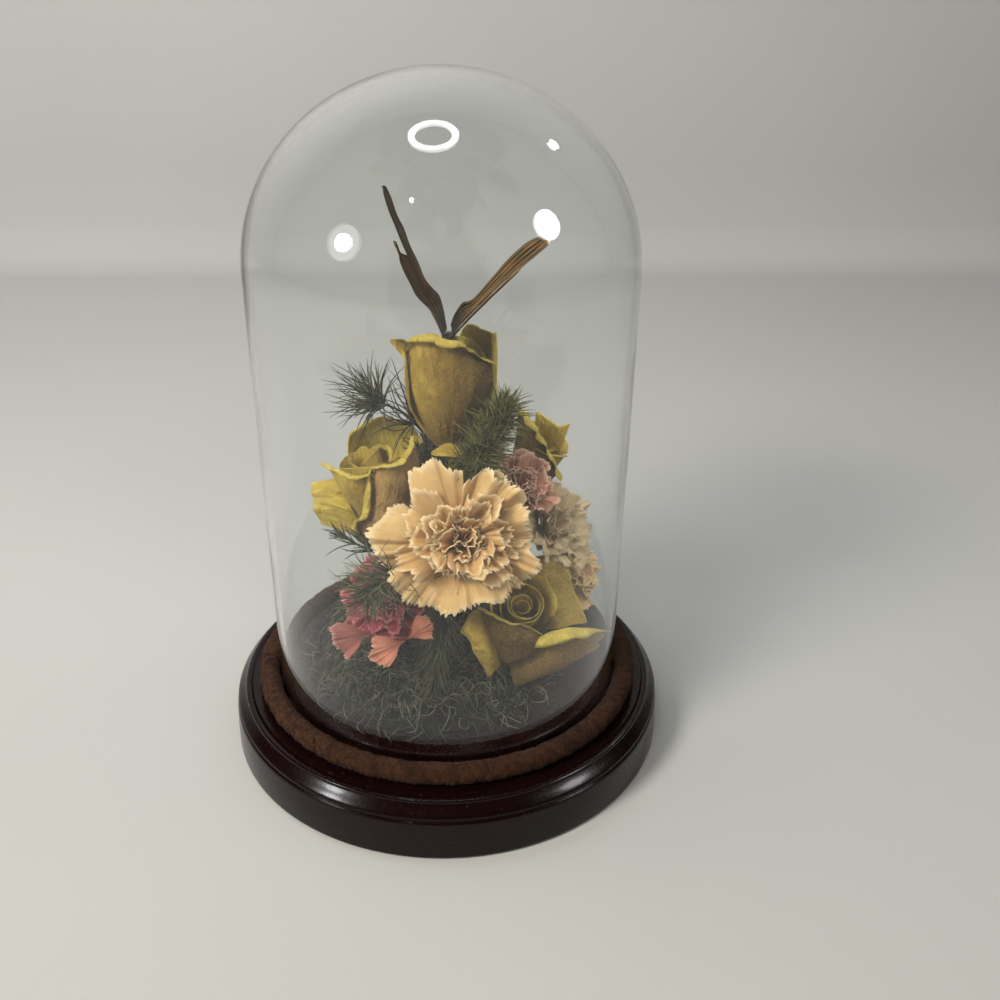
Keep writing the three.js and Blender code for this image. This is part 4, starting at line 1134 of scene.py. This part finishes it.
def fern(node, route, needles, length, angle, curl, seed, radius, knots=None, sway=0.22,
         finish=fern_finish, tuft=None):
    """Needles start along the route or at knots, lean by angle, hook by sway and curl to its tip.

    A tuft is (centre, count, width): needles that stand out every way round a point.
    """
    chance = np.random.default_rng(seed)
    line = spline(route, SPRIG_STEPS)
    tangent = unit(np.gradient(line, axis=0))
    at = np.sort(chance.uniform(0.08, 1, needles))
    if knots is not None:
        at = np.clip(np.sort(chance.choice(knots, needles) + chance.normal(0, 0.02, needles)), 0, 1)
    index = (at * (SPRIG_STEPS - 1)).astype(int)
    root, heading = line[index], tangent[index]
    around = chance.uniform(0, 2 * np.pi, needles)
    out = spokes(heading, [0.3, 0.2, 1.0], around[:, None])
    lean = np.radians(angle * chance.uniform(0.3, 1.25, needles))[:, None] * (1.15 - 0.5 * at[:, None])
    direction = np.cos(lean) * heading + np.sin(lean) * out
    if tuft is not None:
        centre, count, wide = tuft
        root = np.concatenate([root, np.array(centre) + chance.normal(0, wide, (count, 3))])
        heading = np.concatenate([heading, unit(chance.normal(0, 1, (count, 3)))])
        direction = np.concatenate([direction, unit(chance.normal(0, 1, (count, 3)))])
        at = np.concatenate([at, np.full(count, 1.2)])
        needles = needles + count
    size = (length * chance.uniform(0.6, 1.0, needles) * (1 - 0.25 * at))[:, None, None]
    t = np.linspace(0, 1, 8)[None, :, None]
    aside = unit(chance.normal(0, 1, (needles, 3)))
    hook = unit(np.cross(direction, aside)) * chance.uniform(0.6, 2.4, (needles, 1))
    bend = (sway * hook + curl * heading - 0.5 * sway * direction)[:, None]
    path = root[:, None] + size * (t * direction[:, None] + t ** 2 * bend)
    thick = radius * np.array([0.8, 1.0, 1.0, 0.95, 0.9, 0.8, 0.6, 0.2])
    leaves = tubes(path, thick, 3, shade=chance.uniform(0, 1, needles))
    stalk = tubes(line[None], np.linspace(0.7, 0.25, SPRIG_STEPS), 6, shade=np.array([0.3]))
    piece(node + "_sprig", join([leaves, stalk]), finish, "dried_fern", node)


fern("fern_upper_left", [[-9, 13, 126], [-16, 12, 134], [-25, 11, 139]],
     170, 25, 86, 0.2, 101, 0.3, knots=(0.25, 0.93, 0.97, 1.0), sway=0.42)
fern("fern_upper_right", [[9, -15, 121], [15, -17, 134], [21, -15, 145]],
     760, 14.5, 58, 0.25, 102, 0.28, sway=0.42, finish=olive_finish, tuft=((11, -16, 124.5), 420, 2.4))
fern("fern_middle_left", [[-28, -22, 92], [-33, -21, 94], [-38, -18, 95.5]],
     34, 15, 42, 0.1, 103, 0.3, knots=(0.1, 0.6, 0.95))
fern("fern_lower_left", [[-19, -39, 93], [-23, -41.5, 91], [-27, -42.5, 88]],
     230, 21, 84, 0.1, 104, 0.24, knots=(0.2, 0.6, 0.9), sway=0.4, finish=pale_finish)
fern("fern_front", [[0, -28, 74], [-3, -34, 62], [-5, -40, 48]], 420, 17, 40, 0.3, 105, 0.24)
fern("fern_back", [[2, 22, 86], [2, 32, 104], [-4, 38, 122]],
     1100, 16, 55, 0.25, 106, 0.3, tuft=((-6, 9, 116), 350, 3.0))

# %% [markdown]
# Every bloom has its own stem, with the green calyx grown on at the top.
# A stem is one tube along a spline, thicker towards the bloom. Three blooms have tipped
# a little on their stems, so their stems' tops have a place or a direction of their own.

# %% Stems
FOOT_HEIGHT, CALYX_LENGTH, STEM_RADIUS, STEM_STEPS = 47.0, 9, 1.25, 40


def stem(name, calyx, facing):
    """The same line as the model solid: foot, middle, neck and calyx; the radius swells below the bloom."""
    top = np.array(calyx, float)
    way = unit(np.array(facing, float))
    neck = min(14, 0.6 * (top[2] - FOOT_HEIGHT))
    below = top - neck * way
    foot = np.array([top[0] * 0.3, top[1] * 0.3 + 4, FOOT_HEIGHT])
    line = spline([foot, (foot + below) / 2, below, top], STEM_STEPS)
    length = np.linalg.norm(np.diff(line, axis=0), axis=1).sum()
    from_top = (1 - np.linspace(0, 1, STEM_STEPS)) * length
    swelling = np.minimum(1, 1.6 * np.maximum(0, 1 - from_top / CALYX_LENGTH))
    radius = STEM_RADIUS + 2.1 * swelling + 0.1 * np.sin(from_top * 1.7)
    tube = tubes(line[None], radius[None], 14, shade=np.array([0.5]))
    piece(name + "_stalk", tube, stem_finish, "dried_stem", name + "_stem")


STEM_TOPS = {**BLOOMS,
             "left_rose": ((-23.5, -1, 82), (-0.1, 0, 0.99)),
             "peach_carnation": ((43.5, -4, 67.5), (0.8, -0.42, 0.42)),
             "red_bloom": ((-18, -14, 62), (-0.42, -0.75, 0.51))}
for bloom, (bloom_calyx, bloom_facing) in STEM_TOPS.items():
    stem(bloom, bloom_calyx, bloom_facing)

# %% [markdown]
# The moss is a low heap of fine, curled, grey-green strands. A lumpy core keeps light from shining through the
# heap;
# it is painted near black as shade deep in the heap, and thousands of short bent tubes lie on it.
# Strands start on the core's surface and follow it, so the heap keeps its shape.

# %% Moss
MOSS_X, MOSS_Y, MOSS_FLOOR, MOSS_RISE = -6, -4, 30.3, 11.0


def moss_reach(angle):
    """The heap's outline: a circle with three wide lobes and five small ones."""
    return 50 + 3 * np.sin(3 * angle + 0.6) + 2 * np.cos(5 * angle)


def moss_height(x, y):
    """The heap's height over the plinth: a lobed bowl turned over, with a dip where the stems go in."""
    dx, dy = x - MOSS_X, y - MOSS_Y
    share = np.hypot(dx, dy) / moss_reach(np.arctan2(dy, dx))
    lift = np.interp(share, [0, 0.3, 0.6, 0.85, 1.0, 1.3], [0.7, 0.75, 1.0, 0.7, 0.12, 0.0])
    return MOSS_FLOOR + MOSS_RISE * lift


chance = np.random.default_rng(3)
core_u = np.linspace(0, 2 * np.pi, 96, endpoint=False)[None, :]
core_v = np.linspace(0.02, 0.97, 30)[:, None]
core_reach = moss_reach(core_u) * core_v
core_x = MOSS_X + core_reach * np.cos(core_u)
core_y = MOSS_Y + core_reach * np.sin(core_u)
core_lumps = np.sin(core_x * 0.5) * np.cos(core_y * 0.6) + 0.6 * np.sin(core_x * 1.1 + core_y * 0.9)
core_z = np.maximum(moss_height(core_x, core_y) - 1.2 + 0.6 * core_lumps, 30.5)
core_top = np.stack([core_x, core_y, core_z], -1)[::-1]
core_low = np.stack([core_x, core_y, MOSS_FLOOR + 0 * core_z], -1)
core_poles = [[[MOSS_X, MOSS_Y, MOSS_FLOOR], [MOSS_X, MOSS_Y, core_top[-1, :, 2].mean()]]]
# Painted shade: shade 0.05 and along 0 give the core the darkest strand colour, for the shade deep in the heap.
core = capped(np.concatenate([core_low, core_top])[None], core_poles, shade=0.05, along=0.0)

STRANDS, STRAND_STEPS, MOSS_LIMIT = 4600, 6, 63.5
strand_r = 49 * np.sqrt(chance.uniform(0, 1, STRANDS))
strand_a = chance.uniform(0, 2 * np.pi, STRANDS)
strand_x = MOSS_X + strand_r * np.cos(strand_a)
strand_y = MOSS_Y + strand_r * np.sin(strand_a)
heading = chance.uniform(0, 2 * np.pi, STRANDS)[:, None]
curve = chance.normal(0, 1.6, STRANDS)[:, None]
t = np.linspace(-0.5, 0.5, STRAND_STEPS)[None, :]
size = chance.uniform(5, 15, STRANDS)[:, None]
way = heading + curve * t * 2
step = size / STRAND_STEPS
path_x = strand_x[:, None] + np.cumsum(np.cos(way) * step, 1)
path_y = strand_y[:, None] + np.cumsum(np.sin(way) * step, 1)
arch = chance.uniform(-0.3, 4.0, STRANDS)[:, None] * (1 - 4 * t ** 2)
arch = arch + chance.uniform(-0.6, 0.9, STRANDS)[:, None]
path_z = np.clip(moss_height(path_x, path_y) + arch, 30.4, 42.8)
inward = np.minimum(1, MOSS_LIMIT / np.hypot(path_x, path_y))
strand_path = np.stack([path_x * inward, path_y * inward, path_z], -1)
strand_radii = 0.22 * np.array([0.5, 0.9, 1, 1, 0.8, 0.4])
strand_form = tubes(strand_path, strand_radii, 3, shade=chance.uniform(0, 1, STRANDS) ** 2.5)
piece("moss_heap", join([core, strand_form]), moss_finish, "dried_moss", "moss_mound")

# %% [markdown]
# The butterfly holds its wings up in a V. Each wing is a thin sheet between two edge
# curves, and its pattern belongs to its surface: veins run out from the root, cells
# between them are tawny or dark, and the margins are dark. Those are numbers per point,
# worked out from the two parameters of the sheet, which the material turns to colour.

# %% Wing outlines
wing_sides = {
    "left": (np.array([0.1, -0.5, 170.0]), [-0.355, 0, 0.935], [0.12, 0.97, 0]),
    "right": (np.array([3.1, -0.5, 170.0]), [0.72, 0, 0.69], [-0.15, 0.97, 0])}
wing_outlines = {
    "forewing_left": [
        [0, -0.5, 8], [4, -0.5, 15], [9, -0.6, 18.5], [14, -0.8, 13.5], [20, -1, 8.6], [27, -1.2, 8.6],
        [34, -1.8, 6.6], [40, -2.8, 6.4], [46, -4.2, 3.6], [52, -4.8, 3.4], [55.5, -3.6, 2], [56.5, -1.8, 0.2]],
    "hindwing_left": [
        [0, -6, -1.2], [4, -10, -1.2], [10, -13, -1.3], [15, -13.5, -1.5], [20, -13, -1.7], [27, -14, -1.9],
        [32, -15.6, -3], [34, -15.4, -8], [36.5, -13.8, -11.6], [40.5, -13.2, -12.6]],
    "forewing_right": [
        [0, 1.2, 8], [3, 1.2, 13], [7.7, 1.2, 15.5], [11.5, 1.2, 10.8], [17.4, 1, 10.4], [24.3, 0.6, 13],
        [31, 0, 14.8], [37.7, -1.4, 16], [42.9, -1.6, 13.9], [47, -1, 10.8], [48.6, -0.4, 9.4]],
    "hindwing_right": [
        [0, -6, 0.5], [5, -10, 0.5], [12, -13, 0.4], [20, -14, 0.2], [27, -12, -0.1], [32, -8, -0.6],
        [34.5, -4.5, -1.2]]}
print("wing spans in mm:", {name: rows[-1][0] for name, rows in wing_outlines.items()})

# %% Wing finish
wing_finish = new_finish("butterfly_wing", 0.6, 0.05)
wing_place = place()
scales = noise(wing_place, 1800.0, 3.0, 0.7)
smudge = noise(wing_place, 260.0, 4.0, 0.6)
tawny = mix(spread(smudge, 0.35, 0.65), tint("75481e"), tint("4d2a16"))
dark_cell = mix(smudge, tint("251a13"), tint("140e0b"))
wing_colour = mix(value_of("dark"), tawny, dark_cell)
wing_colour = mix(value_of("drab"), wing_colour, tint("3d3428"))
wing_colour = mix(value_of("margin"), wing_colour, tint("241f1c"))
wing_colour = mix(value_of("vein"), wing_colour, tint("a58a60"))
wing_colour = mix(value_of("pale"), wing_colour, tint("cfc8bd"))
wing_colour = mix(spread(scales, 0.4, 0.8, 0, 0.25), wing_colour, tint("75614a"))
wing_bump = bump(scales, 0.0002, 0.6)
principled({"Base Color": wing_colour, "Normal": wing_bump})
principled({"Sheen Weight": 0.02, "Sheen Roughness": 0.35})

# %% Wings
def wing(name, rows=150, columns=56):
    """root + s span + t chord + bow, with s and t from a spline through the outline.

    The bow holds a slow arch along the span, the raised veins and the camber: a bend of the part
    that lies below the span line.
    """
    part, side = name.split("_")
    fore = part == "forewing"
    left = side == "left"
    root, span, chord = wing_sides[side]
    span = unit(np.array(span, float))
    chord = np.array(chord, float)
    chord = unit(chord - chord @ span * span)
    normal = unit(np.cross(span, chord))
    s, near, far = spline(wing_outlines[name], rows).T[:, :, None]
    u = np.linspace(0, 1, columns)[None, :]
    v = np.linspace(0, 1, rows)[:, None]
    vein_at = np.abs((u * 5 + 0.5 * np.sin(2.5 * v) + 0.3) % 1 - 0.5) * 2
    veins = smoothstep(0.82, 0.94, vein_at) * smoothstep(0.06, 0.2, v)
    t = near + (far - near) * u + 0.3 * np.sin(34 * v) * (2 * u - 1) * smoothstep(0.2, 0.5, v)
    rounding = 0.8 * (2 * u - 1) ** 2 * v ** 10
    bow = np.sin(0.055 * s) + 0.2 * veins + 0.25 * np.sin(7 * u + 4 * v)
    if left:
        bow = bow - 0.3 * np.maximum(0, -t - 3) * smoothstep(22, 12, s)
    else:
        bow = bow + 0.34 * np.maximum(0, -t - 1)
    grid = root + (s - rounding)[..., None] * span + t[..., None] * chord + bow[..., None] * normal
    lines = np.sin(13 * u + 2.2 * np.sin(5 * v)) + 0.8 * np.sin(29 * v + 6 * u)
    tawny_share = smoothstep(0.3, 1.2, lines) * smoothstep(0.12, 0.4, v)
    tawny_share = tawny_share * smoothstep(0.05, 0.3, u) * smoothstep(1, 0.8, u)
    dark = 1 - (0.95 if fore else 0.75) * tawny_share
    edge = np.maximum(smoothstep(0.9, 1, u), smoothstep(0.12, 0, u)) + 0 * v
    drab = smoothstep(0.25, 0.6, v) * (fore and left) + smoothstep(0.5, 0.9, u) * smoothstep(0.4, 0.2, v) * left
    pale = smoothstep(0.9, 0.95, v) * (0.8 + 0.2 * np.sin(11 * u)) * (fore and not left)
    margin = np.clip(edge * (1 - pale), 0, 1) * (0.9 if fore else 1.0)
    values = dict(dark=dark, drab=np.clip(drab, 0, 1) * 0.85, margin=margin,
                  vein=veins * 0.95 * (1 - 0.7 * drab), pale=pale)
    shape = shells(grid[None], 0.3, **{key: (value + 0 * u * v)[None] for key, value in values.items()})
    piece(name + "_veined", shape, wing_finish, "butterfly_wing", name)


for wing_name in wing_outlines:
    wing(wing_name)

# %% [markdown]
# The body is a slim spindle of three parts, covered in down. The down is short thin
# tubes, leaning towards the tail, because real hairs lie that way. Their random draws
# go on from the moss's, so the two cells run in this order.

# %% Butterfly body
body_finish = new_finish("insect_body", 0.85, 0.05)
down = noise(place(), 1500.0, 4.0, 0.7)
down_colour = mix(spread(down, 0.3, 0.7), tint("2b211c"), tint("5c4838"))
down_colour = mix(spread(value_of("shade"), 0, 1, 0, 0.5), down_colour, tint("7d6650"))
principled({"Base Color": down_colour, "Normal": bump(down, 0.0004, 0.8)})
principled({"Sheen Weight": 0.3, "Sheen Roughness": 0.5})

body_way = unit(np.array([0.05, 0.98, -0.17]))
body_length = 17.4
tail = np.array([1.6, -0.5, 167.6]) - body_way * body_length / 2
body_steps = np.linspace(0, 1, 60)
body_path = tail + body_steps[:, None] * body_length * body_way
segments = 1 + 0.05 * np.sin(60 * body_steps) * (body_steps < 0.55)
waist = 1 - 0.28 * np.exp(-((body_steps - 0.56) / 0.03) ** 2)
waist = waist - 0.3 * np.exp(-((body_steps - 0.86) / 0.025) ** 2)
body_radius = 2.0 * (0.3 + 0.7 * np.sin(np.pi * (0.06 + 0.88 * body_steps))) * segments * waist
body_radius[[0, -1]] *= 0.5
body_form = tubes(body_path[None], body_radius[None], 20, shade=np.array([0.0]))
hairs = 2200
hair_at = chance.uniform(0.03, 0.97, hairs)
hair_around = chance.uniform(0, 2 * np.pi, hairs)
hair_out = spokes(body_way, [1.0, 0, 0], hair_around[:, None])
hair_radius = np.interp(hair_at, body_steps, body_radius)
hair_root = tail + (hair_at * body_length)[:, None] * body_way + hair_out * (hair_radius - 0.1)[:, None]
hair_lean = unit(hair_out - 0.7 * body_way + [0, 0, 0.5] + chance.normal(0, 0.3, (hairs, 3)))
hair_size = chance.uniform(0.7, 2.3, hairs)[:, None, None]
hair_t = np.linspace(0, 1, 3)[None, :, None]
hair_path = hair_root[:, None] + hair_size * hair_t * hair_lean[:, None]
hair_form = tubes(hair_path, 0.07 * np.array([1, 0.8, 0.3]), 3, shade=chance.uniform(0.2, 1, hairs))
piece("butterfly_body_downy", join([body_form, hair_form]), body_finish, "insect_body", "butterfly_body")
